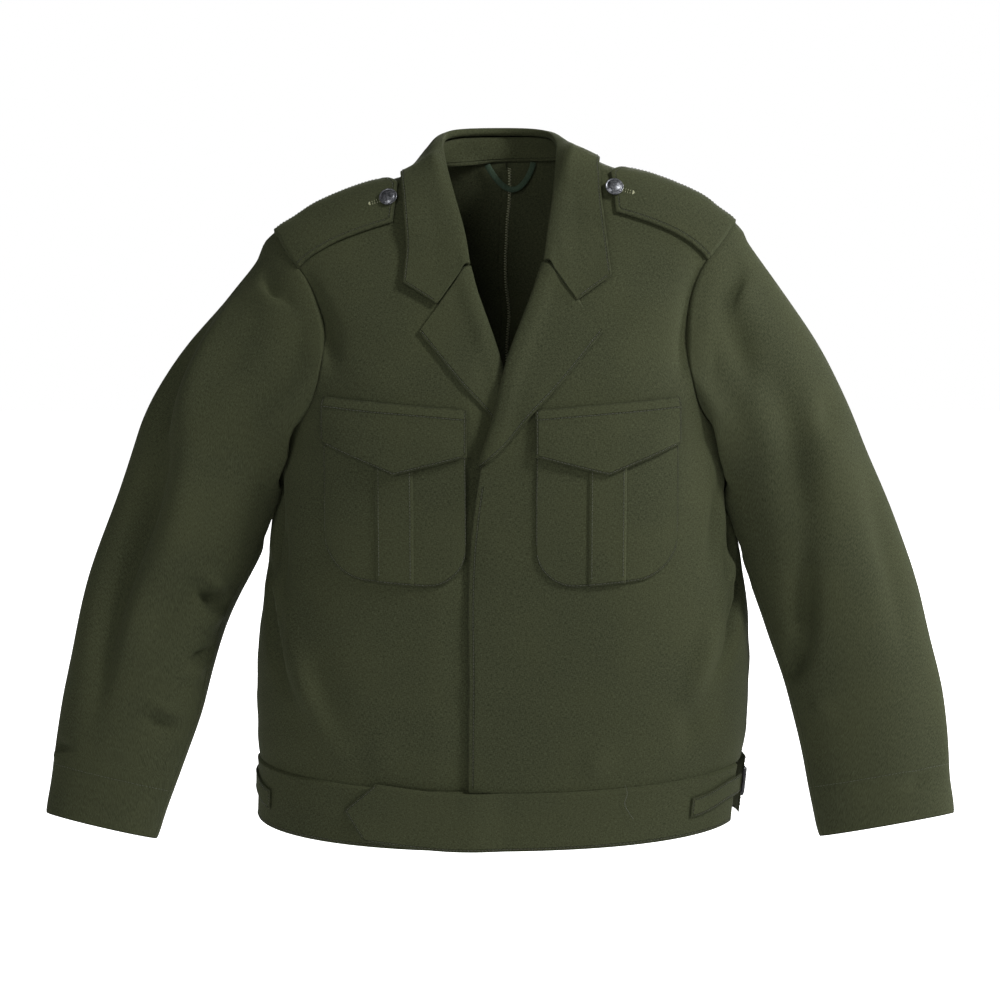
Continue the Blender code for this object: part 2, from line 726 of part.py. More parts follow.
def sleeve_surface(way, turn, share):
    """The outer face of a sleeve. Above the first ring it is a smooth loft from the armhole, below it the rings."""
    rows = LEFT_SLEEVE if way > 0 else RIGHT_SLEEVE
    places, centre, axis, out, front = sleeve_rings(rows, way)
    wide, deep = column(rows, "wide"), column(rows, "deep")
    around = np.radians(turn)

    def ring(at):
        c = spline(at, places, centre)
        w = spline(at, places, wide)[..., None]
        d = spline(at, places, deep)[..., None]
        return (
            c
            + w * np.cos(around)[..., None] * spline(at, places, out)
            + d * np.sin(around)[..., None] * spline(at, places, front)
        )

    first = places[0]
    arm_angle, arm_z = armhole_point(turn)
    below = ease(-np.cos(around) / 0.6 - 0.3)
    start = cloth(figure(way * arm_angle, arm_z), 0.9 * below)
    end = ring(np.full_like(share, first))
    reach = np.linalg.norm(end - start, axis=-1, keepdims=True)
    leave = np.stack(
        [
            way * (0.60 - (0.04 if way > 0 else 0.14) * np.cos(around)),
            -0.22 * np.sin(around),
            -0.74 - 0.07 * np.cos(around),
        ],
        axis=-1,
    )
    arrive = unit(ring(np.full_like(share, first + 0.02)) - end) * reach
    t = np.clip(share / first, 0, 1)[..., None]
    loft = (
        (2 * t**3 - 3 * t**2 + 1) * start
        + (t**3 - 2 * t**2 + t) * leave * reach
        + (3 * t**2 - 2 * t**3) * end
        + (t**3 - t**2) * arrive
    )
    points = np.where((share < first)[..., None], loft, ring(np.maximum(share, first)))
    rise = sleeve_folds(LEFT_SLEEVE_FOLDS if way > 0 else RIGHT_SLEEVE_FOLDS, turn, share)
    spine = spline(share, places, centre)
    away = points - spine
    away /= np.maximum(np.linalg.norm(away, axis=-1, keepdims=True), 1e-9)
    points = points + away * rise[..., None]
    room = SLEEVE_CLEARANCE * ease(share / 0.10)
    return np.where(share[..., None] > 0, clear_of_body(points, room), points)


def sleeve_turns():
    """Turns round the sleeve, matched to the rows of the body panels at the armhole."""
    half = 180.0 * (1 - np.linspace(0, 1, ARMHOLE_ROWS + 1))
    return np.concatenate([half[::-1], 360.0 - half[1:]])


def build_sleeves(finish):
    """Each sleeve is cut in two: a top sleeve and an under sleeve, seamed at the front and at the back of the arm."""
    turns = sleeve_turns()
    share = np.concatenate([[0.0, 0.03], np.linspace(0.07, 1.0, SLEEVE_ROWS)])
    for side, way in (("left", 1), ("right", -1)):
        grid_turn, grid_share = np.meshgrid(turns, share, indexing="ij")
        outer = sleeve_surface(way, grid_turn, grid_share)
        closed = outer[:-1]
        normal = surface_normals(closed, wrap=True) * way
        normal = np.concatenate([normal, normal[:1]])
        arm_angle, arm_z = armhole_point(turns)
        at_armhole = outward(figure(way * arm_angle, arm_z))
        upper = ease((np.cos(np.radians(turns)) + 0.35) / 0.35)[:, None]
        normal[:, 0] = unit(blend(normal[:, 1], at_armhole, upper))
        beside = np.roll(normal[:-1], 1, axis=0) + np.roll(normal[:-1], -1, axis=0)
        softer = unit(normal[:-1] + beside)
        normal = blend(np.concatenate([softer, softer[:1]]), normal, (upper * (share < 0.01))[..., None])
        inner = outer - normal * CLOTH
        under = (turns >= FRONT_SLEEVE_SEAM - 2) & (turns <= HIND_SLEEVE_SEAM + 2)
        first, last = np.flatnonzero(under)[[0, -1]]
        pieces = {
            "sleeve_under": np.arange(first, last + 1),
            "sleeve_top": np.concatenate([np.arange(last, len(turns) - 1), np.arange(0, first + 1)]),
        }
        for name, picked in pieces.items():
            wall(f"{name}_{side}", trimmed(outer[picked]), trimmed(inner[picked]), finish)


def lapel_surface(way, across, up):
    """The outer face of a lapel: it wraps the roll line, then lies on the front."""
    rows = LEFT_FRONT_EDGE if way > 0 else RIGHT_FRONT_EDGE
    edge_rows = LEFT_LAPEL_EDGE if way > 0 else RIGHT_LAPEL_EDGE
    share = blend(LAPEL_FOOT_SHARE, LAPEL_HEAD_SHARE, up)
    roll = spline(share, column(rows, "share"), np.stack([column(rows, "x"), column(rows, "z")], axis=1))
    edge = spline(up, column(edge_rows, "share"), np.stack([column(edge_rows, "x"), column(edge_rows, "z")], axis=1))
    width = np.maximum(np.linalg.norm(edge - roll, axis=-1), 1.0)
    wrap_x = -3.4 * way * np.exp(-((across * width / 4.5) ** 2))
    x = blend(roll[..., 0], edge[..., 0], across) + wrap_x
    z = blend(roll[..., 1], edge[..., 1], across)
    from_roll = across * width
    lift = LAPEL_LIFT + ROLL_RISE * np.exp(-(((from_roll - 9) / 10) ** 2)) - 5.2 * np.exp(-from_roll / 1.6)
    points = place(x, z)
    if way < 0:
        lift = lift + underlap(points)
    else:
        lift = lift + FLAP_CORNER_RISE * np.exp(-((x - 29) ** 2 + (z + 217) ** 2) / 20.0**2)
    return cloth(points, lift)


def build_lapels(finish):
    """Lapels: the fronts turned back from the roll line, up to the gorge."""
    columns = np.array([0.0, 0.03, 0.07, 0.14, 0.25, 0.4, 0.6, 0.8, 1.0])
    rows = np.linspace(0.05, 1.0, 15)
    for side, way in (("left", 1), ("right", -1)):
        across, up = np.meshgrid(columns, rows, indexing="ij")
        outer = lapel_surface(way, across, up)
        normal = surface_normals(outer) * way
        wall(f"lapel_{side}", trimmed(outer, "u"), trimmed(outer - normal * CLOTH, "u"), finish)


def collar_curves(share):
    """Neck seam, roll line, middle and outer edge of the collar. The share runs from one gorge round to the other."""
    half = len(COLLAR) - 1
    places = np.linspace(0, 1, 2 * half + 1)
    turned = np.array([-1.0, 1.0, 1.0])
    curves = []
    for part in ("seam", "roll", "mid", "edge"):
        values = np.stack([column(COLLAR, f"{part}_{axis}") for axis in "xyz"], axis=1)
        both = np.concatenate([values * turned, values[-2::-1]])
        shift = column(COLLAR, "shift") if part != "seam" else np.full(len(COLLAR), NECK_SHIFT)
        inward = column(COLLAR, "left_in") * LEFT_IN_SHARE[part]
        both[:, 0] += np.concatenate([shift, (shift - inward)[-2::-1]])
        curves.append(spline(share, places, both))
    return curves


def collar_profile(share):
    """Knots of the collar's profile: the inside below the roll, the round of the roll, the middle and the edge."""
    seam, roll, mid, edge = collar_curves(share)
    line = unit(np.gradient(roll, axis=0))

    def across(way):
        return unit(way - line * (way * line).sum(axis=-1, keepdims=True))

    fall, stand = across(mid - roll), across(seam - roll)
    crest = -unit(fall + stand)
    side = unit(fall - crest * (fall * crest).sum(axis=-1, keepdims=True))
    shown = STAND_SHOWN * blend(0.8, 1.0, ease((0.5 - np.abs(share - 0.5)) / 0.12))[:, None]
    inside = roll - crest * shown - side * ROLL_HALF * 0.8
    before = roll - crest * ROLL_HALF * 0.9 - side * ROLL_HALF
    after = roll - crest * ROLL_HALF * 0.9 + side * ROLL_HALF
    return seam, np.stack([inside, before, roll, after, mid, edge], axis=1)


def build_collar(finish):
    """The stand round the neck, and the fall that turns over it."""
    knots = np.array([0.0, 0.09, 0.16, 0.23, 0.55, 1.0])
    down = np.array([0.0, 0.05, 0.09, 0.125, 0.16, 0.195, 0.23, 0.31, 0.42, 0.55, 0.70, 0.85, 1.0])
    share = np.linspace(0, 1, COLLAR_COLUMNS + 1)
    seam, profile = collar_profile(share)
    smooth = np.stack([spline(down, knots, row) for row in profile])
    kinked = np.stack([np.stack([np.interp(down, knots, row[:, i]) for i in range(3)], axis=1) for row in profile])
    near_end = 0.5 - np.abs(share - 0.5)
    kink = (1 - ease(near_end / 0.07))[:, None, None] * (down > 0.3)[None, :, None]
    outer = blend(smooth, kinked, kink)
    lift = blend(COLLAR_FRONT_LIFT, COLLAR_LIFT, ease(near_end / 0.08))[:, None] + 0 * down
    pushed = clear_of_body(outer, lift)
    outer = blend(outer, pushed, ease((down - 0.2) / 0.2)[None, :, None])
    normal = surface_normals(outer)
    wall("collar_fall", outer, outer - normal * FALL_CLOTH, finish)

    seam, inside = seam[3:-3], profile[3:-3, 0]
    down_way = unit(seam - inside)
    top = inside + down_way * 1.2
    up = np.linspace(0.0, 1.0, 4)
    face = np.stack([blend(seam, top, t) for t in up], axis=1)
    normal = surface_normals(face)
    wall("collar_stand", face, face - normal * CLOTH, finish)


def build_pockets(finish):
    """Patch pockets with a raised box pleat, and their pointed flaps."""
    half = POCKET_WIDTH / 2
    corner = POCKET_CORNER * (1 - np.cos(np.radians(np.linspace(0, 90, 6))))
    flat = np.array([-PLEAT_WIDTH / 2 - 0.4, -PLEAT_WIDTH / 2, 0.0, PLEAT_WIDTH / 2, PLEAT_WIDTH / 2 + 0.4])
    columns = np.concatenate([-half + corner, flat, half - corner[::-1]])
    edge = np.minimum(half - np.abs(columns), POCKET_CORNER)
    foot = POCKET_FOOT + POCKET_CORNER - np.sqrt(POCKET_CORNER**2 - (POCKET_CORNER - edge) ** 2)
    raised = np.where(np.abs(columns) <= PLEAT_WIDTH / 2, PLEAT_RISE, 0.0)
    rows = np.linspace(0, 1, 9)
    flap_columns = np.linspace(-half - FLAP_OVERHANG, half + FLAP_OVERHANG, 13)
    flap_foot = blend(FLAP_POINT, FLAP_CORNER, np.abs(flap_columns) / (half + FLAP_OVERHANG))
    flap_rows = np.array([0.0, 0.08, 0.17, 0.5, 1.0])
    for side, way, centre in (("left", 1, LEFT_POCKET_CENTRE), ("right", -1, RIGHT_POCKET_CENTRE)):
        x = centre + columns[:, None] + 0 * rows
        z = blend(POCKET_TOP, foot[:, None], rows) + POCKET_SLOPE * way * columns[:, None]
        points = place(x, z)
        low = LAYER_GAP + np.zeros(x.shape)
        outer = cloth(points, low + 1.5 + raised[:, None])
        wall(f"pocket_{side}", outer, cloth(points, low), finish)
        x = centre + flap_columns[:, None] + 0 * flap_rows
        z = blend(FLAP_TOP, flap_foot[:, None], flap_rows) + POCKET_SLOPE * way * flap_columns[:, None]
        points = place(x, z)
        down = FLAP_TOP + POCKET_SLOPE * way * flap_columns[:, None] - z
        low = blend(LAYER_GAP, LAYER_GAP + 1.5 + PLEAT_RISE + 0.7, ease(down / FLAP_RUN))
        cloth_wall(f"pocket_flap_{side}", points, low, CLOTH, finish)


def build_shoulder_straps(finish, button_finish):
    """Shoulder straps from the sleeve seam to a point by the collar, each with a domed button."""
    along = np.linspace(0, 1, 12)
    across = np.linspace(0, 1, 7)
    for side, way, button in (("left", 1, LEFT_BUTTON_PLAN), ("right", -1, RIGHT_BUTTON_PLAN)):
        t, q = np.meshgrid(along, across, indexing="ij")
        seam_angle, seam_z = armhole_point(blend(STRAP_SEAM_FRONT, STRAP_SEAM_BACK, q))
        start = figure(way * seam_angle, seam_z)[..., :2] * STRAP_SEAM_SHARE
        start[..., 0] *= way
        end = np.stack([blend(STRAP_NECK_FRONT[i], STRAP_NECK_BACK[i], q) for i in (0, 1)], axis=-1)
        middle = np.array(STRAP_POINT) - (np.array(STRAP_NECK_FRONT) + np.array(STRAP_NECK_BACK)) / 2
        end = end + middle * (1 - np.abs(2 * q - 1))[..., None]
        flat = blend(start, end, t[..., None])
        x = way * flat[..., 0]
        points = plan(x, flat[..., 1])
        low = STRAP_GAP + np.zeros(t.shape)
        cloth_wall(f"shoulder_strap_{side}", points, low, DOUBLE_CLOTH - 0.4, finish)
        seat = plan(np.array(way * button[0]), np.array(button[1]))
        build_button(f"shoulder_button_{side}", seat, button_finish)


def build_button(name, seat, finish):
    """A domed button: a turned profile, set on the strap along its normal."""
    axis = outward(seat)
    side = np.cross(axis, np.array([0.0, 1.0, 0.0]))
    side /= np.linalg.norm(side)
    other = np.cross(axis, side)
    radii = np.array([0.0, 4.0, 7.0, 8.2, 8.5, 7.6, 5.0, 0.0]) / 8.5 * BUTTON_RADIUS
    heights = np.array([0.0, 0.0, 0.2, 0.7, 1.4, 2.2, 2.9, 3.2]) / 3.2 * BUTTON_DOME
    turns = np.radians(np.arange(0, 360, 18))
    base = seat + axis * (STRAP_GAP + DOUBLE_CLOTH + 0.3)
    grid = (
        base
        + axis * heights[None, :, None]
        + (np.cos(turns)[:, None, None] * side + np.sin(turns)[:, None, None] * other) * radii[None, :, None]
    )
    grid = settle(grid) * METRES
    mesh = bpy.data.meshes.new(name)
    work = bmesh.new()
    loops = [[work.verts.new(grid[i, k]) for i in range(len(turns))] for k in range(1, len(radii) - 1)]
    for lower, upper in zip(loops[:-1], loops[1:]):
        for i in range(len(turns)):
            j = (i + 1) % len(turns)
            work.faces.new((lower[i], lower[j], upper[j], upper[i]))
    work.faces.new(loops[0][::-1])
    work.faces.new(loops[-1])
    bmesh.ops.recalc_face_normals(work, faces=work.faces)
    work.to_mesh(mesh)
    work.free()
    add_object(name, mesh, finish)


def band_points(angles, up, rise=0.0):
    """Points of the waistband, by angle and share of its height."""
    turn = np.sin(np.radians(angles))
    z = waist_seam(angles) - LAYER_GAP + rise
    z = z - (BAND_HEIGHT - HEM_TILT * turn + HEM_SIDE_DROP * turn**2) * (1 - up)
    return figure(angles, z)


def build_waistband(finish):
    """Waistband in three lengths. The wearer's left one ends in a pointed tab that lies over the right one."""
    up = np.array([0.0, 0.26, TAB_ENDS[1][1], 0.76, 1.0])
    tab_x = np.interp(up, [p[1] for p in TAB_ENDS], [p[0] for p in TAB_ENDS])
    tab_z = waist_seam(35.0) - BAND_HEIGHT * (1 - up)
    tab_angle = angle_of(place(tab_x, tab_z))
    across = np.linspace(0, 1, 25)[:, None]
    angles = blend(tab_angle[None], LEFT_SIDE.band_front, across)
    points = band_points(angles, up[None], rise=TAB_RISE * ease(-(angles + 8) / 26))
    lift = TAB_LIFT * ease(-(points[..., 0] - 6) / 38)
    cloth_wall("waistband_left", points, lift - 0.6, BAND_CLOTH, finish)

    end_angle = float(angle_of(place(np.array([RIGHT_BAND_END]), np.array([-600.0])))[0])
    angles = blend(-RIGHT_SIDE.band_front, end_angle, np.linspace(0, 1, 23))[:, None] + 0 * up
    points = band_points(angles, up[None])
    lift = -UNDERLAP_DEPTH * ease((points[..., 0] + 62) / 36)
    cloth_wall("waistband_right", points, lift - 0.6, BAND_CLOTH, finish)

    first, last = LEFT_SIDE.band_back, 360 - RIGHT_SIDE.band_back
    angles = np.linspace(first, last, 31)[:, None] + 0 * up
    points = band_points(angles, up[None])
    near_end = np.minimum(angles - first, last - angles)
    lift = BACK_BAND_FLARE * (1 - ease(near_end / 14.0))
    cloth_wall("waistband_back", points, lift - 0.6, BAND_CLOTH, finish)


def side_strap_z(side, angle, share):
    """Height of a side strap: it climbs from its sewn end towards the side."""
    middle = blend(SIDE_STRAP_FRONT_Z, SIDE_STRAP_END_Z, ease((angle - side.strap_start) / SIDE_STRAP_CLIMB))
    return middle + SIDE_STRAP_WIDTH * (share - 0.5)


def build_side_straps(finish, metal):
    """At each side a strap sewn to the front band runs back to a slide buckle held by a tab on the back band."""
    share = np.linspace(0, 1, 3)
    for side in WAIST_SIDES:
        angles = np.linspace(side.strap_start, side.strap_end, 13)[:, None] + 0 * share
        points = figure(side.way * angles, side_strap_z(side, angles, share[None]))
        lift = BAND_CLOTH - 0.6 + LAYER_GAP + 0 * angles
        cloth_wall(f"side_strap_{side.name}", points, lift, 1.5, finish)
        angles = np.linspace(side.tab_start, side.tab_end, 8)[:, None] + 0 * share
        points = figure(side.way * angles, side_strap_z(side, angles, share[None]))
        flare = BACK_BAND_FLARE * (1 - ease((angles - side.band_back) / 14.0))
        lift = BAND_CLOTH - 0.6 + LAYER_GAP + flare
        cloth_wall(f"side_tab_{side.name}", points, lift, 1.5, finish)
        build_buckle(f"side_buckle_{side.name}", side, metal)


def build_buckle(name, side, finish):
    """A slide buckle: a flat metal frame with two openings, as one plate with its windows cut through."""
    middle_z = float(side_strap_z(side, np.array(side.buckle), 0.5))
    seat = figure(np.array(side.way * side.buckle), np.array(middle_z))
    out = outward(seat)
    up = np.array([0.0, 0.0, 1.0]) - out * out[2]
    up /= np.linalg.norm(up)
    along = np.cross(up, out)
    centre = seat + out * BUCKLE_LIFT
    half_w, half_h, wire = BUCKLE_WIDTH / 2, BUCKLE_HEIGHT / 2, BUCKLE_WIRE
    ws = np.array([-half_w, -half_w + 2 * wire, -wire, wire, half_w - 2 * wire, half_w])
    hs = np.array([-half_h, -half_h + 2 * wire, half_h - 2 * wire, half_h])
    work = bmesh.new()
    verts = {}
    for layer, depth in enumerate((-wire, wire)):
        for i, w in enumerate(ws):
            for j, h in enumerate(hs):
                spot = settle((centre + along * w + up * h + out * depth)[None])[0] * METRES
                verts[layer, i, j] = work.verts.new(spot)
    filled = {(i, j) for i in range(5) for j in range(3)} - {(1, 1), (3, 1)}
    for i, j in filled:
        for layer in (0, 1):
            work.faces.new([verts[layer, i + a, j + b] for a, b in ((0, 0), (1, 0), (1, 1), (0, 1))])
        for (di, dj), (p, q) in {
            (-1, 0): ((0, 0), (0, 1)),
            (1, 0): ((1, 0), (1, 1)),
            (0, -1): ((0, 0), (1, 0)),
            (0, 1): ((0, 1), (1, 1)),
        }.items():
            if (i + di, j + dj) not in filled:
                a, b = (i + p[0], j + p[1]), (i + q[0], j + q[1])
                work.faces.new([verts[0, a[0], a[1]], verts[0, b[0], b[1]], verts[1, b[0], b[1]], verts[1, a[0], a[1]]])
    bmesh.ops.recalc_face_normals(work, faces=work.faces)
    mesh = bpy.data.meshes.new(name)
    work.to_mesh(mesh)
    work.free()
    add_object(name, mesh, finish)


def build_hanger_loop(finish):
    """A tape sewn into the back neck seam at both ends, hanging in a shallow loop inside the back."""
    t = np.linspace(0, 1, 15)
    x = blend(LOOP_RIGHT, LOOP_LEFT, t) + level(0.0)[4]
    drop = LOOP_DROP * np.sin(np.pi * t) ** 0.7
    z = BACK_NECK_Z - 2.0 - drop
    line = np.stack([x, np.zeros_like(x), z], axis=1)
    half, _, back, _, shift = level(z)
    line[:, 1] = back * np.sqrt(1 - ((x - shift) / half) ** 2) - CLOTH - 3.2
    way = np.gradient(line, axis=0)
    way /= np.linalg.norm(way, axis=1, keepdims=True)
    facing = np.array([0.0, -1.0, 0.0])
    width = np.cross(way, facing)
    width /= np.linalg.norm(width, axis=1, keepdims=True)
    edges = np.stack([line - width * LOOP_TAPE / 2, line + width * LOOP_TAPE / 2], axis=1)
    wall("hanger_loop", edges + facing * 0.9, edges - facing * 0.9, finish)


def main():
    for old in list(bpy.data.objects):
        bpy.data.objects.remove(old, do_unlink=True)
    olive = material("olive cloth", OLIVE, 0.9)
    tape = material("green tape", LOOP_GREEN, 0.85)
    horn = material("grey button", HORN, 0.35)
    metal = material("black buckle", BLACK_METAL, 0.4, 1.0)
    build_backs(olive)
    build_fronts(olive)
    build_sleeves(olive)
    build_lapels(olive)
    build_collar(olive)
    build_pockets(olive)
    build_shoulder_straps(olive, horn)
    build_waistband(olive)
    build_side_straps(olive, metal)
    build_hanger_loop(tape)


main()
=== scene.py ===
"""Dresses a battledress jacket: cloth shells on its cut pieces, with creases, sewing, buttons and buckles.

Every table and length is in millimetres and degrees unless it says otherwise; the meshes are written in
metres. +Z is up, the fronts face -Y and the wearer's left is at +X. A place on the body is an angle round the
figure (0 at the centre front, 90 at the wearer's left side) and a height. A place on a sleeve is a turn round
it (0 outside, 90 in front, 180 towards the body) and a share of its length.
"""

import json
from collections import namedtuple

import bpy
import mathutils
import numpy as np
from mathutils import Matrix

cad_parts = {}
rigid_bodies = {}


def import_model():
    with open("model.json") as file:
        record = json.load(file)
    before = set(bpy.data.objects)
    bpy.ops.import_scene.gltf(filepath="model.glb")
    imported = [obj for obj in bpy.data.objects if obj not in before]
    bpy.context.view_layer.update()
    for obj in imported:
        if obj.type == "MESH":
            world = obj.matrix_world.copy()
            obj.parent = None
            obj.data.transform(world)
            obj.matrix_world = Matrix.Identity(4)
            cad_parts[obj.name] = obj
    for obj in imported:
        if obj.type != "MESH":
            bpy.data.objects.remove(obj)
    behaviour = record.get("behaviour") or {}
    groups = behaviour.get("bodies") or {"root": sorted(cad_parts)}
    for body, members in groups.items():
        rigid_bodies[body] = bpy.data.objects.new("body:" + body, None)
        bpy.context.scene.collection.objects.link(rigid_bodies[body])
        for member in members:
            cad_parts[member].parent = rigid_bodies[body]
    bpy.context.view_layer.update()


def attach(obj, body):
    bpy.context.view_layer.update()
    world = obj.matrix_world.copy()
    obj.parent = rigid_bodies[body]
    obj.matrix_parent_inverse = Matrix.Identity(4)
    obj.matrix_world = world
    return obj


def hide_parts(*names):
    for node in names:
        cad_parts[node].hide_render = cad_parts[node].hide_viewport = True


bl_info = {
    "name": "Battledress jacket",
    "version": (1, 0, 0),
    "blender": (4, 5, 0),
    "location": "View3D > Sidebar > Jacket",
    "description": "Cloth, sewing, buttons and buckles of a waist-length uniform jacket",
    "category": "Object",
}

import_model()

METRES = 0.001
FORWARD = np.array([0.0, -1.0, 0.0])
# Stands for a distance from an edge or a sewn line that isn't there
FAR_AWAY = 1e3
NO_LIMIT = 1e4

# Thicknesses and gaps; SOLID_ is the thickness of the plain solids that the cloth lies over
CLOTH = 1.3
BAND_CLOTH = 2.4
SOLID_CLOTH = 1.8
SOLID_BAND = 3.0
SEAM_TRIM = 0.12
LAYER_GAP = 0.7
# Step of the differences that give a slope
STEP = 0.5

# The waist seam, the hem and the shoulders
WAIST_SIDE = -562.0
WAIST_DIP = 13.0
BAND_HEIGHT = 53.0
SHOULDER_TILT = 4.5
TILT_REACH = 130.0
TILT_TOP = -60.0
TILT_FOOT = -200.0
COLLAR_TOP = 30.0
NECK_POINT_Z = 4.0
BACK_NECK_Z = 3.0
TIP_Z = -58.0
UNDERARM_Z = -258.0


def table(kind, *rows):
    """Rows of numbers as named tuples of a kind."""
    return tuple(kind(*row) for row in rows)


# The figure's rings from the neck down: half width, depths in front and behind, squareness, sideways shift
Level = namedtuple("Level", "z half front back square shift")
LEVELS = table(
    Level,
    (40, 50, 26, 62, 0.00, 0),
    (20, 56, 27, 66, 0.00, 1),
    (6, 74, 28, 72, 0.00, 3),
    (0, 85, 29, 74, 0.00, 3),
    (-6, 99, 31, 76, 0.02, 3),
    (-14, 131, 34, 78, 0.05, 3),
    (-25, 161, 38, 82, 0.08, 3),
    (-35, 182, 42, 86, 0.10, 3),
    (-45, 196, 46, 90, 0.12, 2),
    (-55, 211, 51, 93, 0.14, 1),
    (-70, 224, 59, 98, 0.17, 0),
    (-90, 227, 71, 104, 0.20, -1),
    (-120, 223, 88, 111, 0.22, 0),
    (-150, 220, 101, 115, 0.24, 2),
    (-200, 219, 116, 118, 0.25, 1),
    (-260, 217, 121, 115, 0.26, 0),
    (-330, 220, 119, 110, 0.28, 0),
    (-400, 229, 115, 108, 0.30, 1),
    (-470, 235.5, 111, 108, 0.30, -0.5),
    (-530, 235, 107, 105, 0.28, -2),
    (-575, 230, 105, 99, 0.26, -4),
    (-640, 228, 106, 99, 0.26, -8),
)

# The front edges up to the neck, with the roll lines
EdgePoint = namedtuple("EdgePoint", "share x z")
LEFT_FRONT_EDGE = table(
    EdgePoint,
    (0.00, -34, -575),
    (0.15, -33, -484),
    (0.40, -30, -330),
    (0.50, -21, -268),
    (0.60, -7, -222),
    (0.70, 5, -172),
    (0.82, 29, -110),
    (0.88, 40, -80),
    (0.95, 63, -36),
)
RIGHT_FRONT_EDGE = table(
    EdgePoint,
    (0.00, 34, -575),
    (0.15, 33, -484),
    (0.40, 30, -330),
    (0.50, 23, -268),
    (0.60, 8, -222),
    (0.70, -5, -172),
    (0.82, -27, -110),
    (0.88, -36, -80),
    (0.95, -59, -36),
)

# The armhole, by turn from the shoulder tip
ArmholePoint = namedtuple("ArmholePoint", "turn angle z")
ARMHOLE = table(
    ArmholePoint,
    (0, 90, -58),
    (22, 71, -63),
    (42, 61, -78),
    (62, 54, -97),
    (80, 51, -122),
    (98, 50, -155),
    (116, 51, -190),
    (136, 57, -226),
    (158, 72, -250),
    (180, 90, -258),
    (202, 108, -250),
    (224, 119, -226),
    (244, 122, -190),
    (262, 122, -155),
    (280, 121, -122),
    (298, 118, -97),
    (318, 112, -78),
    (338, 102, -63),
    (360, 90, -58),
)

# The sleeves' rings: centre, half widths and twist
SleeveRing = namedtuple("SleeveRing", "share out back z wide deep twist")
RIGHT_SLEEVE = table(
    SleeveRing,
    (0.34, 275, -8, -275, 78, 63, 4),
    (0.42, 295, -9, -325, 76, 59, 4),
    (0.56, 330, -14, -410, 73, 52, 4),
    (0.72, 353, -27, -502, 67, 44, 4),
    (0.90, 374, -44, -590, 57, 37, 4),
    (1.00, 381, -51, -619, 54, 34, 4),
)
LEFT_SLEEVE = table(
    SleeveRing,
    (0.34, 268, -8, -275, 78, 63, 4),
    (0.42, 288, -9, -325, 77, 59, 4),
    (0.56, 319, -14, -410, 75, 52, 4),
    (0.72, 344, -27, -502, 71, 44, 4),
    (0.90, 357.5, -44, -590, 67, 36, 4),
    (1.00, 362.5, -51, -618, 65, 32, 4),
)
FRONT_SLEEVE_SEAM = 165.0
HIND_SLEEVE_SEAM = 255.0
SLEEVE_CLEARANCE = 4.5
SLEEVE_LENGTH = 600.0

# Large soft folds: a line from a high place to a low one, "rise" is negative in a valley
Fold = namedtuple("Fold", "angle_top z_top angle_low z_low width rise peak")
BODY_FOLDS = table(
    Fold,
    (-72, -262, -70, -450, 14, -8, 0.35),
    (-84, -325, -52, -432, 12, 5, 0.60),
    (-58, -400, -34, -566, 14, 6, 0.50),
    (-82, -355, -48, -510, 11, -8, 0.45),
    (72, -262, 72, -450, 13, -8, 0.30),
    (84, -322, 50, -424, 11, 5, 0.55),
    (54, -392, 39, -530, 13, 6, 0.40),
    (83, -350, 50, -480, 11, -9, 0.45),
    (64, -268, 52, -384, 11, -4, 0.50),
    (52, -64, 40, -215, 14, -4, 0.45),
    (-52, -72, -40, -200, 14, -4, 0.45),
    (118, -265, 128, -540, 22, -6, 0.35),
    (-118, -265, -128, -540, 22, -6, 0.35),
    (146, -300, 140, -560, 26, 5, 0.60),
    (-146, -300, -140, -560, 26, 5, 0.60),
)
SleeveFold = namedtuple("SleeveFold", "turn_top share_top turn_low share_low width rise peak")
RIGHT_SLEEVE_FOLDS = table(
    SleeveFold,
    (0, 0.08, 62, 0.40, 11, -9, 0.62),
    (58, 0.27, 67, 0.86, 13, -12, 0.32),
    (12, 0.06, 74, 0.34, 13, 7, 0.55),
    (74, 0.27, 102, 0.60, 14, 6, 0.40),
    (14, 0.10, 34, 0.80, 15, 5, 0.40),
    (44, 0.02, 70, 0.22, 14, -4, 0.40),
    (142, 0.00, 152, 0.42, 26, 13, 0.45),
    (120, 0.42, 96, 0.66, 16, -4, 0.55),
    (230, 0.40, 250, 0.85, 20, -5, 0.50),
    (4, 0.10, 4, 0.86, 34, -9, 0.40),
    (168, 0.42, 168, 0.72, 28, -4.5, 0.45),
)
LEFT_SLEEVE_FOLDS = table(
    SleeveFold,
    (62, 0.10, 112, 0.50, 15, -7, 0.60),
    (100, 0.40, 152, 0.68, 13, -9, 0.55),
    (56, 0.02, 92, 0.20, 13, -6, 0.45),
    (88, 0.05, 104, 0.36, 14, 5, 0.45),
    (142, 0.00, 152, 0.42, 26, 12, 0.45),
    (34, 0.30, 60, 0.74, 15, -3, 0.45),
    (20, 0.60, 30, 0.98, 16, 4, 0.50),
    (232, 0.40, 250, 0.85, 20, -5, 0.50),
    (0, 0.10, 0, 0.55, 42, -6, 0.50),
)

# Radii at which an angle across a fold is measured
BODY_RADIUS = 200.0
SLEEVE_RADIUS = 62.0

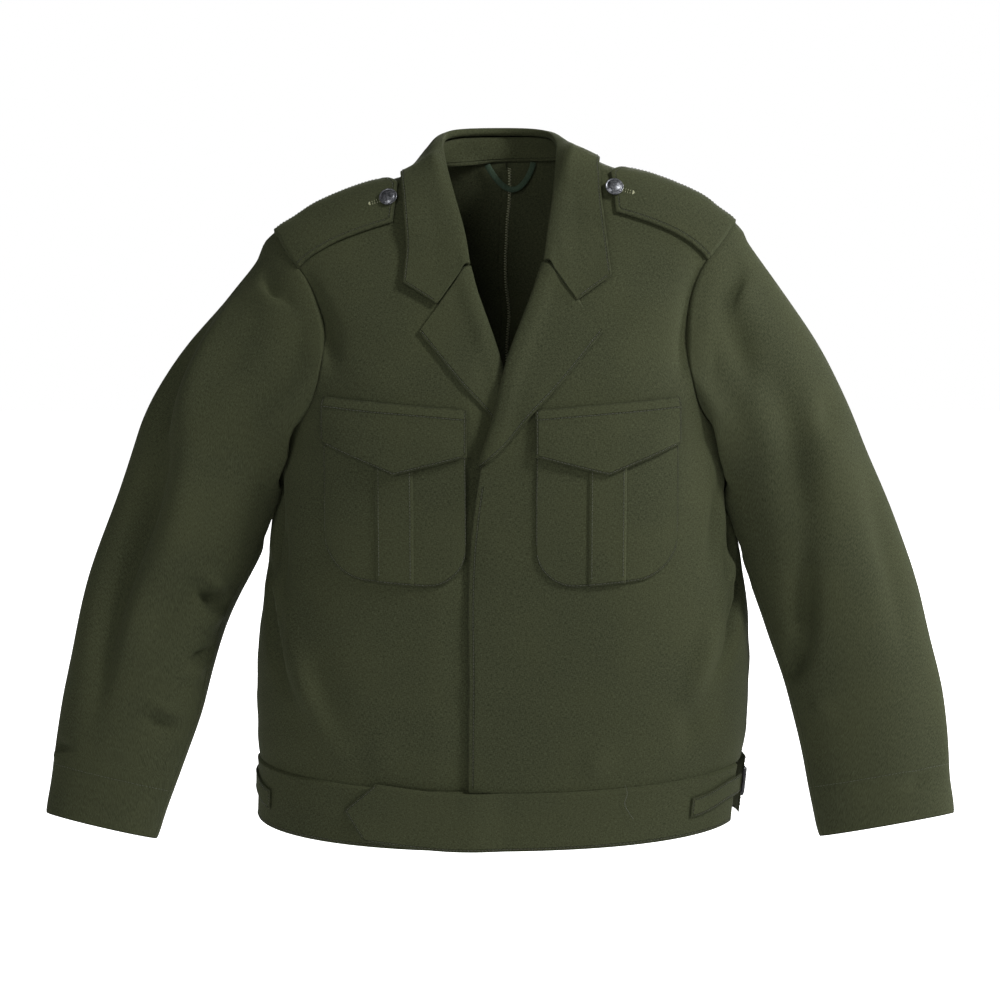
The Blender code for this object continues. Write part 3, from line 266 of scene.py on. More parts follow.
# Smaller creases, each a segment from a first place to a last one. "lean" widens the slope on its right side.
Crease = namedtuple("Crease", "p0 q0 p1 q1 width rise peak lean")
BODY_CREASES = table(
    Crease,
    (-66, -300, -57, -470, 7, -2.2, 0.35, 1.8),
    (-46, -420, -36, -545, 11, -1.8, 0.50, 1.6),
    (-24, -500, -30, -562, 9, 1.2, 0.60, 1.5),
    (64, -330, 58, -452, 6, -2.4, 0.40, 1.9),
    (40, -470, 46, -556, 10, -1.6, 0.55, 1.6),
    (22, -520, 20, -570, 8, 1.0, 0.60, 1.4),
    (-8, -300, -9, -420, 8, -1.0, 0.45, 1.6),
    (47, -120, 43, -205, 8, -1.6, 0.50, 1.6),
    (-47, -125, -42, -200, 8, -1.6, 0.50, 1.6),
    (150, -70, 128, -210, 12, -2.2, 0.45, 1.6),
    (-152, -75, -128, -200, 12, -2.4, 0.40, 1.6),
    (112, -300, 134, -420, 9, -2.2, 0.40, 1.7),
    (-114, -300, -136, -440, 9, -2.2, 0.40, 1.7),
    (166, -430, 172, -555, 12, -1.8, 0.55, 1.6),
    (-164, -440, -168, -555, 12, -1.8, 0.55, 1.6),
)
RIGHT_SLEEVE_CREASES = table(
    Crease,
    (18, 0.046, 66, 0.030, 6, -6.5, 0.62, 1.7),
    (58, 0.052, 71, 0.014, 4, -3.0, 0.50, 1.4),
    (22, 0.078, 72, 0.066, 8, 3.0, 0.55, 1.5),
    (112, 0.484, 152, 0.506, 7, 3.2, 0.50, 1.4),
    (118, 0.505, 168, 0.538, 6, -6.0, 0.48, 1.7),
    (128, 0.560, 170, 0.535, 7, 2.4, 0.50, 1.5),
    (132, 0.630, 170, 0.598, 5, -3.4, 0.45, 1.7),
    (124, 0.655, 164, 0.636, 7, 1.8, 0.50, 1.5),
    (98, 0.705, 152, 0.730, 6, 2.6, 0.50, 1.5),
    (104, 0.735, 152, 0.756, 6, -2.4, 0.50, 1.7),
    (6, 0.822, 62, 0.820, 4, -2.4, 0.40, 1.6),
    (8, 0.840, 50, 0.838, 5, 1.2, 0.40, 1.6),
)
LEFT_SLEEVE_CREASES = table(
    Crease,
    (26, 0.030, 72, 0.056, 8, -4.0, 0.55, 1.7),
    (24, 0.062, 74, 0.088, 8, 2.2, 0.55, 1.5),
    (138, 0.600, 168, 0.655, 6, -5.0, 0.50, 1.6),
    (120, 0.560, 160, 0.590, 9, 2.4, 0.50, 1.5),
    (150, 0.700, 120, 0.740, 7, 1.6, 0.50, 1.5),
    (40, 0.240, 64, 0.330, 10, -1.8, 0.50, 1.6),
    (50, 0.860, 78, 0.900, 6, -1.2, 0.50, 1.5),
)
# Millimetres to a degree, for the creases
DEGREE_ON_BODY = 3.6
DEGREE_ON_SLEEVE = 1.08
# Width from which a hollow stays as it is and isn't deepened
WIDE_HOLLOW = 20.0
# Height of the slow unevenness of the cloth
BODY_WAVE = 0.9
SLEEVE_WAVE = 0.8

# Widths and lengths that set how many rows a piece has, and the steps of those rows
PANEL_WIDTH = 250.0
SIDE_LENGTH = 304.0
ARMHOLE_LENGTH = 300.0
PANEL_STEP = 4.4
FRONT_STEP = 4.2
BACK_STEP = 4.6
# Share of a back panel's top that is neckline
NECK_SHARE = 0.36

# The lapels' free edges, from the break up to the corner
LapelPoint = namedtuple("LapelPoint", "share x z")
LEFT_LAPEL_EDGE = table(
    LapelPoint,
    (0.00, -19, -268),
    (0.22, 3, -248),
    (0.42, 21, -226),
    (0.70, 52, -193),
    (1.00, 89, -150),
)
RIGHT_LAPEL_EDGE = table(
    LapelPoint,
    (0.00, 20, -268),
    (0.22, -2, -240),
    (0.42, -16, -219),
    (0.70, -41, -192),
    (1.00, -77, -148),
)
LAPEL_FOOT_SHARE = 0.50
LAPEL_HEAD_SHARE = 0.865
LAPEL_LIFT = 2.9
# The roll: how far it wraps round the front edge and over what width, its crest, and its drop at the fold
ROLL_WRAP = 3.4
ROLL_WRAP_WIDTH = 4.5
ROLL_RISE = 2.4
ROLL_CREST = 9
ROLL_CREST_WIDTH = 10
ROLL_DROP = 5.2
ROLL_DROP_WIDTH = 1.6
# The left lapel's foot rises over the corner of the pocket flap below it: place, width and height
FLAP_CORNER_X = 29
FLAP_CORNER_Z = -217
FLAP_CORNER_WIDTH = 20.0
FLAP_CORNER_RISE = 2.6

# The collar from its right end to the centre back, mirrored for the other side
CollarStation = namedtuple(
    "CollarStation",
    "seam_x seam_y seam_z roll_x roll_y roll_z mid_x mid_y mid_z edge_x edge_y edge_z shift left_in",
)
COLLAR = table(
    CollarStation,
    (39, -66, -78, 33.5, -75, -85.5, 63.5, -92, -121.5, 95, -80, -101, 2.5, 0.0),
    (46, -51, -58, 38, -58, -57, 66, -68, -76, 92, -62, -70, 2.0, 0.0),
    (55, -35, -32, 46, -34, -22, 69, -46, -35, 92, -50, -42, 0.0, 1.5),
    (64, -15, -6, 52, -8, 7, 72.5, -16, 0.5, 93, -20, -10, -2.0, 4.0),
    (67, 12, 3.5, 54, 20, 24, 72.5, 22, 13.5, 91, 22, -4, -3.0, 7.0),
    (53, 47, 4, 43, 50, 33, 59.5, 62, 20, 78, 62, -9, -4.5, 7.0),
    (0, 70, 5, 0, 66, 35, 0, 81, 22, 0, 86, -12, -3.0, 2.0),
)
NECK_SHIFT = 2.5
# How much of "left_in", which brings the wearer's left side in, each line of the collar takes
LEFT_IN_SHARE = {"seam": 0.0, "roll": 0.5, "mid": 1.0, "edge": 1.0}
FALL_CLOTH = 1.6
ROLL_HALF = 3.2
STAND_SHOWN = 7.5
COLLAR_LIFT = 4.2
COLLAR_FRONT_LIFT = 3.0
COLLAR_LENGTH = 520.0
STAND_LENGTH = 400.0
STAND_HEIGHT = 22.0
# The stand runs between these shares of the collar's length
STAND_START = 3 / 36
STAND_STOP = 33 / 36

# The pockets and their flaps
POCKET_WIDTH = 128.0
POCKET_TOP = -224.0
POCKET_FOOT = -377.0
POCKET_CORNER = 38.0
POCKET_SLOPE = 0.075
PLEAT_WIDTH = 34.0
PLEAT_RISE = 1.4
FLAP_TOP = -212.0
FLAP_CORNER = -254.0
FLAP_POINT = -276.0
FLAP_OVERHANG = 1.5
FLAP_RUN = 8.5
FLAP_CLOTH = 1.6
FLAP_BELLY = 1.1
POCKET_RISE = 1.5
LEFT_POCKET_CENTRE = 93.2
RIGHT_POCKET_CENTRE = -99.0

# The shoulder straps: turns of the armhole at the sewn end, and places in plan at the neck end
STRAP_SEAM_FRONT = 56.0
STRAP_SEAM_BACK = 0.0
STRAP_SEAM_SHARE = 0.994
STRAP_NECK_FRONT = (102.0, -42.0)
STRAP_NECK_BACK = (112.0, 3.0)
STRAP_POINT = (97.5, -22.0)
STRAP_GAP = 1.3
STRAP_CLOTH = 2.2
LEFT_BUTTON_PLAN = (100.6, -31.5)
RIGHT_BUTTON_PLAN = (106.0, -30.0)
# A button's turned profile as radius and height, and the worked hole beside it
BUTTON_PROFILE = (
    (0.0, 0.0), (4.5, 0.0), (7.4, 0.25), (8.2, 0.7), (8.5, 1.25), (8.35, 1.75), (7.9, 1.95), (7.45, 1.8),
    (7.1, 1.62), (6.7, 1.75), (6.0, 2.15), (5.2, 2.5), (4.9, 2.72), (4.6, 2.70), (3.6, 2.95), (2.2, 3.2),
    (1.0, 3.3), (0.0, 3.32),
)
HOLE_LENGTH = 15.0
HOLE_WIDTH = 1.2
HOLE_AWAY = 3.5
HOLE_THREADS = 56

# The waistband: sideways places and shares of the height of the tab's end in TAB_ENDS
BACK_BAND_FLARE = 3.0
FLARE_REACH = 14.0
BAND_SINK = 0.6
HEM_TILT = 1.0
HEM_SIDE_DROP = 3.5
TAB_ENDS = ((-137.0, 0.0), (-157.0, 0.52), (-127.0, 1.0))
TAB_LIFT = 3.8
TAB_RISE = 5.0
RIGHT_BAND_END = 34.0
UNDERLAP_DEPTH = 4.2
BREAK_UNDERLAP = 9.6

# The side straps and their buckles
SIDE_STRAP_WIDTH = 19.0
SIDE_STRAP_FRONT_Z = -594.0
SIDE_STRAP_END_Z = -583.5
SIDE_STRAP_CLIMB = 20.0
SIDE_STRAP_CLOTH = 1.2
SIDE_STRAP_RISE = 1.5
# The sides of the waist, in degrees: the strap, the buckle, the tab behind it and the ends of the bands. The
# jacket hangs turned a little, so that the wearer's left buckle is in front of the side and the right one
# behind it.
WaistSide = namedtuple(
    "WaistSide", "name way strap_start strap_end buckle tab_start tab_end band_front band_back"
)
WAIST_SIDES = (
    WaistSide("left", 1, 51.0, 84.5, 82.5, 85.9, 99.5, 75.5, 88.5),
    WaistSide("right", -1, 68.0, 106.0, 104.0, 107.4, 121.0, 97.0, 110.0),
)
LEFT_SIDE, RIGHT_SIDE = WAIST_SIDES
BUCKLE_HEIGHT = 27.0
BUCKLE_WIDTH = 13.0
BUCKLE_WIRE = 1.3
BUCKLE_CORNER = 2.2
BUCKLE_LIFT = 6.5

# The hanger loop
LOOP_LEFT = 25.0
LOOP_RIGHT = -19.0
LOOP_DROP = 25.0
LOOP_TAPE = 5.5
LOOP_AWAY = 3.2
LOOP_THICK = 1.05

# The loose end of thread: sideways places and heights on the front, and its lift off it
LOOSE_THREAD = ((111, -566), (113, -575), (110.5, -584), (114, -592), (119, -600))
LOOSE_LIFT = 5.0

# The allowance of the centre back seam: its width, how far past the seam it starts, and its overcast edge
ALLOWANCE_WIDTH = 9.0
ALLOWANCE_START = 3.4
ALLOWANCE_CLOTH = 0.8
OVERCAST_STEP = 0.34
OVERCAST_SLANT = 0.6

# Sewing: a line at a distance from the named edges of a piece's grid (l and r end its rows, d and u its
# columns), kept where the distance from the edge "by" lies between low and high
SewLine = namedtuple("SewLine", "sides distance by low high", defaults=("d", -1.0, NO_LIMIT))
COLLAR_STITCH = 2.6
STRAP_STITCH = 4.5
FLAP_STITCH = 10.0
EDGE_STITCH = 1.9
FLY_STITCH = 5.0
FLY_LENGTH = 292.0
# Share of the gorge that lies under the collar, and the cloth's rise there
GORGE_SHARE = 0.60
GORGE_RISE = 0.9
# How a side runs on under its neighbour: reach and drop
SEAM_TUCK = (2.0, 1.2)
SLEEVE_TUCK = (2.5, 1.2)
BAND_TUCK = (2.4, 2.8)
STRAP_TUCK = (3.0, 3.0)
STAND_TUCK = (3.0, 0.4)
BAND_STITCH = 2.8
CUFF_HEM = 47.0

# How each piece was cut, flat, in metres; "area" is the cut's own flat area in square metres
Cut = namedtuple("Cut", "width length area held rests_on")


# Settings


def length_setting(name, text, default, low, high):
    """A small length in metres."""
    return bpy.props.FloatProperty(
        name=name, description=text, default=default, min=low, max=high, unit="LENGTH", precision=5
    )


def share_setting(name, text, default, high):
    """A factor on the depth of a kind of relief."""
    return bpy.props.FloatProperty(
        name=name, description=text, default=default, min=0.0, max=high, subtype="FACTOR"
    )


def power_setting(name, text, default):
    """The power of a light in watts."""
    return bpy.props.FloatProperty(
        name=name, description=text, default=default, min=0.0, max=1000.0, unit="POWER"
    )


def colour_setting(name, text, default):
    """A linear colour."""
    return bpy.props.FloatVectorProperty(
        name=name, description=text, default=default, size=3, min=0.0, max=1.0, subtype="COLOR"
    )


class JacketSizes(bpy.types.PropertyGroup):
    """Sizes of the sewing, strength of the creases and power of the lights."""

    stitch_pitch: length_setting(
        "Stitch pitch", "Distance from one stitch to the next", 0.0033, 0.0015, 0.008
    )
    stitch_length: length_setting(
        "Stitch length", "Length of the thread that shows in a stitch", 0.0025, 0.001, 0.007
    )
    thread_radius: length_setting("Thread radius", "Radius of the sewing thread", 0.00022, 0.0001, 0.0006)
    trough_share: share_setting("Troughs", "Share of the large troughs' own depth", 1.7, 2.0)
    crease_share: share_setting("Creases", "Share of the small creases' own depth", 2.3, 3.0)
    pucker_share: share_setting("Puckers", "Share of the puckers' own depth along the sewn edges", 1.0, 2.0)
    weave_depth: share_setting("Weave", "Depth of the weave in the shading", 1.0, 3.0)
    key_power: power_setting("Key light", "Power of the main light", 90.0)
    side_power: power_setting("Side light", "Power of the light from the wearer's left", 45.0)
    fill_power: power_setting("Fill light", "Power of the soft light in front", 30.0)
    back_power: power_setting("Back light", "Power of the soft light behind", 60.0)


class JacketColours(bpy.types.PropertyGroup):
    """Colours of the cloth, the tape, the threads and the metal."""

    cloth_dark: colour_setting("Cloth, dark yarn", "Darker yarn of the cloth", (0.0125, 0.0146, 0.0060))
    cloth_light: colour_setting("Cloth, light yarn", "Lighter yarn of the cloth", (0.0525, 0.0590, 0.0280))
    tape_dark: colour_setting("Tape, dark yarn", "Darker yarn of the hanger loop", (0.020, 0.036, 0.022))
    tape_light: colour_setting("Tape, light yarn", "Lighter yarn of the hanger loop", (0.048, 0.074, 0.048))
    thread: colour_setting("Sewing thread", "Thread of the edge stitching", (0.040, 0.045, 0.022))
    pale_thread: colour_setting("Pale thread", "Thread of the centre back seam", (0.36, 0.37, 0.22))
    button_dark: colour_setting(
        "Button, hollows", "Metal of the buttons where it is dull", (0.045, 0.047, 0.054)
    )
    button_light: colour_setting(
        "Button, worn", "Metal of the buttons where it is worn", (0.20, 0.205, 0.22)
    )
    buckle_dark: colour_setting("Buckle, enamel", "Enamel of the buckles", (0.008, 0.008, 0.009))
    buckle_light: colour_setting("Buckle, worn", "Worn edges of the buckles", (0.035, 0.035, 0.038))


def sizes():
    """The sizes in the panel."""
    return bpy.context.scene.jacket_sizes


def colours():
    """The colours in the panel."""
    return bpy.context.scene.jacket_colours


def in_mm(metres):
    """Millimetres of a length in metres."""
    return 1000.0 * metres


# Curves and mixes


def column(rows, name):
    """One named column of a table, as an array."""
    return np.array([getattr(row, name) for row in rows], float)


def spline(at, places, values, monotone=False):
    """A cubic curve through the values at the given places. A monotone one never overshoots its own points:
    its tangents are the harmonic means of the slopes beside them."""
    places = np.asarray(places, float)
    values = np.asarray(values, float)
    flat = values.ndim == 1
    if flat:
        values = values[:, None]
    gaps = np.diff(places)[:, None]
    slopes = np.diff(values, axis=0) / gaps
    tangents = np.empty_like(values)
    tangents[0], tangents[-1] = slopes[0], slopes[-1]
    if monotone:
        product = slopes[:-1] * slopes[1:]
        total = slopes[:-1] + slopes[1:]
        safe = np.where(np.abs(total) < 1e-12, 1.0, total)
        tangents[1:-1] = np.where(product > 0, 2 * product / safe, 0.0)
    else:
        tangents[1:-1] = (slopes[:-1] * gaps[1:] + slopes[1:] * gaps[:-1]) / (gaps[1:] + gaps[:-1])
    at = np.clip(np.asarray(at, float), places[0], places[-1])
    i = np.clip(np.searchsorted(places, at, side="right") - 1, 0, len(places) - 2)
    gap = gaps[i]
    t = ((at - places[i]) / gap[..., 0])[..., None]
    found = (
        (2 * t**3 - 3 * t**2 + 1) * values[i]
        + (t**3 - 2 * t**2 + t) * gap * tangents[i]
        + (3 * t**2 - 2 * t**3) * values[i + 1]
        + (t**3 - t**2) * gap * tangents[i + 1]
    )
    return found[..., 0] if flat else found


def between(at, places, points):
    """Straight in-between points of a path."""
    return np.stack([np.interp(at, places, points[:, i]) for i in range(3)], axis=1)


def ease(share):
    """Smooth step from 0 to 1."""
    share = np.clip(share, 0.0, 1.0)
    return share * share * (3 - 2 * share)


def blend(first, second, share):
    """A straight mix of two values or points."""
    return first + (second - first) * share


def unit(vectors):
    """Vectors scaled to length one."""
    return vectors / np.maximum(np.linalg.norm(vectors, axis=-1, keepdims=True), 1e-9)


def swell(t, peak):
    """Rises smoothly from 0 to 1 at the peak and falls back to 0."""
    rising = ease(t / peak)
    falling = ease((1 - t) / (1 - peak))
    return np.where((t <= 0) | (t >= 1), 0.0, np.where(t < peak, rising, falling))


def shares(length, step, edge=1.2):
    """Shares from 0 to 1 in even steps, with one narrow step at each end for the turned edge of the cloth."""
    inner = np.linspace(edge / length, 1 - edge / length, max(int(length / step), 2) + 1)
    return np.concatenate([[0.0], inner, [1.0]])


def ripple(along, wave, seed):
    """An uneven wave of about the given length: three sines of unlike lengths, from -1 to 1."""
    phase = np.array([0.0, 2.1, 4.4]) + seed * 1.7
    parts = [np.sin(2 * np.pi * along / (wave * k) + p) for k, p in zip((1.0, 1.37, 0.71), phase)]
    return sum(parts) / 3


# The figure that carries the cloth

LEVEL_Z = column(LEVELS, "z")[::-1]
LEVEL_COLUMNS = np.stack(
    [column(LEVELS, name)[::-1] for name in ("half", "front", "back", "square", "shift")], axis=1
)


def level(z):
    """Half width, front depth, back depth, squareness and sideways shift of the figure at a height."""
    found = spline(z, LEVEL_Z, LEVEL_COLUMNS, monotone=True)
    return tuple(np.moveaxis(found, -1, 0))


def figure(angle, z):
    """The bare figure: a ring point at an angle in degrees and a height. Each ring is an ellipse whose depth
    grows by its squareness times the squared sine of the angle."""
    turn = np.radians(angle)
    half, front, back, square, shift = level(z)
    depth = np.where(np.cos(turn) > 0, front, back)
    x = shift + half * np.sin(turn)
    y = -depth * np.cos(turn) * (1 + square * np.sin(turn) ** 2)
    return np.stack([x, y, z + 0 * x], axis=-1)


def ring_ratio(points):
    """How far out of its ring each point lies: 1 on the figure, less inside it."""
    x, y, z = np.moveaxis(points, -1, 0)
    half, front, back, square, shift = level(z)
    across = (x - shift) / half
    along = y / (np.where(y < 0, front, back) * (1 + square * np.minimum(across**2, 1.2)))
    return np.hypot(across, along)


def ratio_slope(points):
    """The gradient of ring_ratio, by differences."""
    parts = []
    for axis in range(3):
        move = np.zeros(3)
        move[axis] = STEP
        parts.append((ring_ratio(points + move) - ring_ratio(points - move)) / (2 * STEP))
    return np.stack(parts, axis=-1)


def outward(points):
    """The unit direction that leads away from the figure."""
    return unit(ratio_slope(points))


def onto_figure(points):
    """Moves points straight onto the figure, by a few Newton steps."""
    for _ in range(6):
        slope = ratio_slope(points)
        size = np.maximum((slope**2).sum(axis=-1), 1e-12)
        points = points - ((ring_ratio(points) - 1) / size)[..., None] * slope
    return points


def angle_of(points):
    """The ring angle of points, in degrees."""
    x, y, z = np.moveaxis(points, -1, 0)
    half, front, back, _, shift = level(z)
    depth = np.where(y < 0, front, back)
    return np.degrees(np.arctan2((x - shift) / half, -y / depth))


def creases(rows, p, q, p_size, q_size):
    """Heights of small creases at places p, q. Each is a segment: its height swells along it and falls off as
    the exponential of minus the squared distance over its width, which is wider on its right side by its
    lean."""
    total = np.zeros_like(p)
    for row in rows:
        run = np.array([(row.p1 - row.p0) * p_size, (row.q1 - row.q0) * q_size])
        length = np.hypot(*run)
        way = run / length
        x, y = (p - row.p0) * p_size, (q - row.q0) * q_size
        t = (x * way[0] + y * way[1]) / length
        off = x * -way[1] + y * way[0]
        width = np.where(off > 0, row.width * row.lean, row.width)
        total += row.rise * swell(t, row.peak) * np.exp(-((off / width) ** 2))
    return total * sizes().crease_share


def fold_rise(fold):
    """Height of a large fold. Narrow troughs deepen with the setting, ridges and wide hollows stay."""
    return fold.rise * (sizes().trough_share if fold.rise < 0 and fold.width < WIDE_HOLLOW else 1.0)


def body_folds(points):
    """How far the cloth stands off the figure at its folds, its creases and its slow unevenness."""
    angle = angle_of(points)
    x, _, z = np.moveaxis(points, -1, 0)
    total = np.zeros_like(z)
    for fold in BODY_FOLDS:
        t = (fold.z_top - z) / (fold.z_top - fold.z_low)
        middle = blend(fold.angle_top, fold.angle_low, np.clip(t, 0, 1))
        across = np.radians(angle - middle) * BODY_RADIUS / fold.width
        total += fold_rise(fold) * swell(t, fold.peak) * np.exp(-(across**2))
    total += creases(BODY_CREASES, angle, z, DEGREE_ON_BODY, 1.0)
    slow = ripple(x + 0.35 * z, 96, 1) * ripple(z - 0.25 * x, 74, 2) + 0.5 * ripple(x * 0.4 - z, 52, 5)
    return total + BODY_WAVE * slow * ease((-60 - z) / 60) * ease((z + 570) / 40)


def cloth(points, lift):
    """Points of the figure moved out to the folded cloth, and then by a lift of their own."""
    return points + outward(points) * (body_folds(points) + lift)[..., None]


def clear_of_body(points, lift):
    """Pushes points outwards where they lie nearer to the folded cloth than the lift."""
    for _ in range(4):
        slope = ratio_slope(points)
        size = np.maximum(np.linalg.norm(slope, axis=-1), 1e-9)
        away = (ring_ratio(points) - 1) / size
        short = lift + body_folds(points) - away
        soft = 0.5 * (short + np.sqrt(short**2 + 1.0))
        push = np.where(short > 6, short, soft)
        points = points + slope / size[..., None] * np.maximum(push, 0.0)[..., None]
    return points


def place(x, z):
    """The point of the figure's front at a sideways place and a height."""
    half, _, _, _, shift = level(z)
    angle = np.degrees(np.arcsin(np.clip((x - shift) / half, -1, 1)))
    return figure(angle, z)


def plan(x, y):
    """The point of the shoulders above a place in plan, found by halving."""
    low = np.full(np.shape(x), -150.0)
    high = np.full(np.shape(x), 30.0)
    for _ in range(40):
        middle = (low + high) / 2
        inside = ring_ratio(np.stack([x, y, middle], axis=-1)) < 1
        low = np.where(inside, middle, low)
        high = np.where(inside, high, middle)
    return np.stack([x, y, (low + high) / 2], axis=-1)


def waist_seam(angle):
    """Height of the seam between the body and the waistband."""
    return WAIST_SIDE - WAIST_DIP * np.cos(np.radians(angle)) ** 2


def settle(points):
    """Tilts the shoulders, as the jacket hangs: the wearer's left is raised and the right is lowered."""
    x, z = points[..., 0], points[..., 2]
    reach = np.sin(np.clip(x / TILT_REACH, -1, 1) * np.pi / 2)
    fade = ease((z - TILT_FOOT) / (TILT_TOP - TILT_FOOT)) * (1 - ease(z / COLLAR_TOP))
    moved = points.copy()
    moved[..., 2] += SHOULDER_TILT * reach * fade
    return moved


# Grids and meshes


def surface_normals(points):
    """Unit normals of a grid of points: the cross products of its two directions."""
    return unit(np.cross(np.gradient(points, axis=0), np.gradient(points, axis=1)))


def trimmed(points):
    """Pulls the edges of a grid in by the seam trim, so that its neighbours stay clear."""
    points = points.copy()
    for at, beside in ((0, 1), (-1, -2)):
        points[at] += unit(points[beside] - points[at]) * SEAM_TRIM
        points[:, at] += unit(points[:, beside] - points[:, at]) * SEAM_TRIM
    return points


def coons(bottom, top, left, right, across, up):
    """A grid filled in between four edge curves: bottom and top run across, left and right run up."""
    u = across[:, None, None]
    v = up[None, :, None]
    between_rows = (1 - v) * bottom[:, None] + v * top[:, None]
    between_columns = (1 - u) * left[None] + u * right[None]
    corners = (1 - u) * ((1 - v) * bottom[0] + v * top[0]) + u * ((1 - v) * bottom[-1] + v * top[-1])
    return between_rows + between_columns - corners


def distances(grid):
    """Distance of each grid point from the grid's four edges, along its rows and columns."""
    along = np.linalg.norm(np.diff(grid, axis=0), axis=-1).cumsum(axis=0)
    along = np.concatenate([np.zeros((1, grid.shape[1])), along])
    up = np.linalg.norm(np.diff(grid, axis=1), axis=-1).cumsum(axis=1)
    up = np.concatenate([np.zeros((grid.shape[0], 1)), up], axis=1)
    return {"l": along, "r": along[-1:] - along, "d": up, "u": up[:, -1:] - up}


def grid_faces(shape, wrap=False):
    """Corner numbers of the quads of a grid, one row a quad."""
    index = np.arange(shape[0] * shape[1]).reshape(shape[:2])
    a, b = (index, np.roll(index, -1, axis=0)) if wrap else (index[:-1], index[1:])
    return np.stack([a[:, :-1], b[:, :-1], b[:, 1:], a[:, 1:]], axis=-1).reshape(-1, 4)


def add_mesh(name, points, faces, finish, uv=None, values=None):
    """Adds one smooth object from points in millimetres and quads, with a map in millimetres and named values
    of its points; the mesh holds them in metres."""
    mesh = bpy.data.meshes.new(name)
    points = np.ascontiguousarray(settle(points.reshape(-1, 3)) * METRES)
    mesh.vertices.add(len(points))
    mesh.vertices.foreach_set("co", points.ravel())
    mesh.loops.add(faces.size)
    mesh.loops.foreach_set("vertex_index", faces.ravel().astype(np.int32))
    mesh.polygons.add(len(faces))
    mesh.polygons.foreach_set("loop_start", np.arange(0, faces.size, faces.shape[1], dtype=np.int32))
    mesh.update(calc_edges=True)
    if uv is not None:
        layer = mesh.uv_layers.new(name="Cut")
        layer.data.foreach_set("uv", (uv.reshape(-1, 2)[faces.ravel()] * METRES).ravel())
    for key, value in (values or {}).items():
        mesh.attributes.new(key, "FLOAT", "POINT").data.foreach_set("value", value.ravel() * METRES)
    mesh.shade_smooth()
    mesh.materials.append(finish)
    piece = bpy.data.objects.new(name, mesh)
    bpy.context.scene.collection.objects.link(piece)
    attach(piece, "root")
    return piece


def tucked(outer, away, tucks):
    """A grid with two more rows on the named sides: they run on by a reach and dip below the neighbour by a
    drop. The directions away from the body get rows of the same kind."""
    for side, (reach, drop) in tucks.items():
        normal = surface_normals(outer)
        normal = normal * np.sign((normal * away).sum())
        grid = outer if side in "lr" else outer.transpose(1, 0, 2)
        lift = normal if side in "lr" else normal.transpose(1, 0, 2)
        at, beside = (0, 1) if side in "ld" else (-1, -2)
        way = unit(grid[at] - grid[beside])
        rows = [grid[at] + way * reach * k - lift[at] * drop * f for k, f in ((0.3, 0.55), (1.0, 1.0))]
        grid = np.stack([rows[1], rows[0], *grid]) if at == 0 else np.stack([*grid, rows[0], rows[1]])
        outer = grid if side in "lr" else grid.transpose(1, 0, 2)
        if np.ndim(away) > 1:
            spread = away if side in "lr" else away.transpose(1, 0, 2)
            ends = [spread[at]] * 2
            spread = np.stack([*ends, *spread]) if at == 0 else np.stack([*spread, *ends])
            away = spread if side in "lr" else spread.transpose(1, 0, 2)
    return outer, away


def shell(name, outer, away, thick=CLOTH, lines=(), puckers=(), seed=1, tucks=None, flat=None):
    """A closed sheet of olive cloth below an outer grid. Its edges are turned in softly, but not where "flat"
    masks a side. A pucker is a side, a height and a reach, and ripples the cloth along that side. "tucks" run
    a side on under its neighbour. Returns the object, the grid, its normals and its distances."""
    outer, away = tucked(outer, away, tucks or {})
    far = distances(outer)
    normal = surface_normals(outer)
    normal = normal * np.sign((normal * away).sum())
    rise = np.zeros(outer.shape[:2])
    for i, (side, height, reach) in enumerate(puckers):
        along = far["l"] if side in "du" else far["d"]
        fade = np.exp(-far[side] / reach) * (1 - np.exp(-far[side] / 2.0))
        uneven = 0.6 + 0.4 * ripple(along, 61.0, seed + 7)
        rise += height * ripple(along, 13.0, seed + i) * uneven * fade
    outer = outer + normal * rise[..., None] * sizes().pucker_share
    inner = outer - normal * thick
    turned_in = {side: (0 if side in (tucks or {}) else (flat or {}).get(side, 1)) for side in "lrdu"}
    rim = np.minimum.reduce(
        [np.where(np.broadcast_to(turned_in[k], outer.shape[:2]), far[k], FAR_AWAY) for k in "lrdu"]
    )
    round_off = 0.36 * thick * np.exp(-((rim / 0.9) ** 2))[..., None] * normal
    outer, inner = outer - round_off, inner + round_off
    count = outer.shape[0] * outer.shape[1]
    index = np.arange(count).reshape(outer.shape[:2])
    faces = grid_faces(outer.shape)
    loop = np.concatenate([index[:-1, 0], index[-1, :-1], index[:0:-1, -1], index[0, :0:-1]])
    after = np.roll(loop, -1)
    rim_faces = np.stack([after, loop, count + loop, count + after], axis=-1)
    faces = np.concatenate([faces, count + faces[:, ::-1], rim_faces])
    points = np.concatenate([outer.reshape(-1, 3), inner.reshape(-1, 3)])
    if (surface_normals(outer) * away).sum() < 0:
        faces = faces[:, ::-1]
    middle = far["l"][far["l"].shape[0] // 2][None]
    uv = np.stack([far["l"] - middle, far["d"]], axis=-1)
    values = {"rim": rim, "line_a": rim * 0 + FAR_AWAY, "line_b": rim * 0 + FAR_AWAY}
    for key, line in zip(("line_a", "line_b"), lines):
        outside = FAR_AWAY * ((far[line.by] < line.low) | (far[line.by] > line.high))
        values[key] = np.minimum.reduce([far[side] for side in line.sides]) - line.distance + outside
    twice = {key: np.concatenate([value.ravel(), value.ravel()]) for key, value in values.items()}
    piece = add_mesh(name, points, faces, olive(), np.concatenate([uv.reshape(-1, 2)] * 2), twice)
    return piece, outer, normal, far


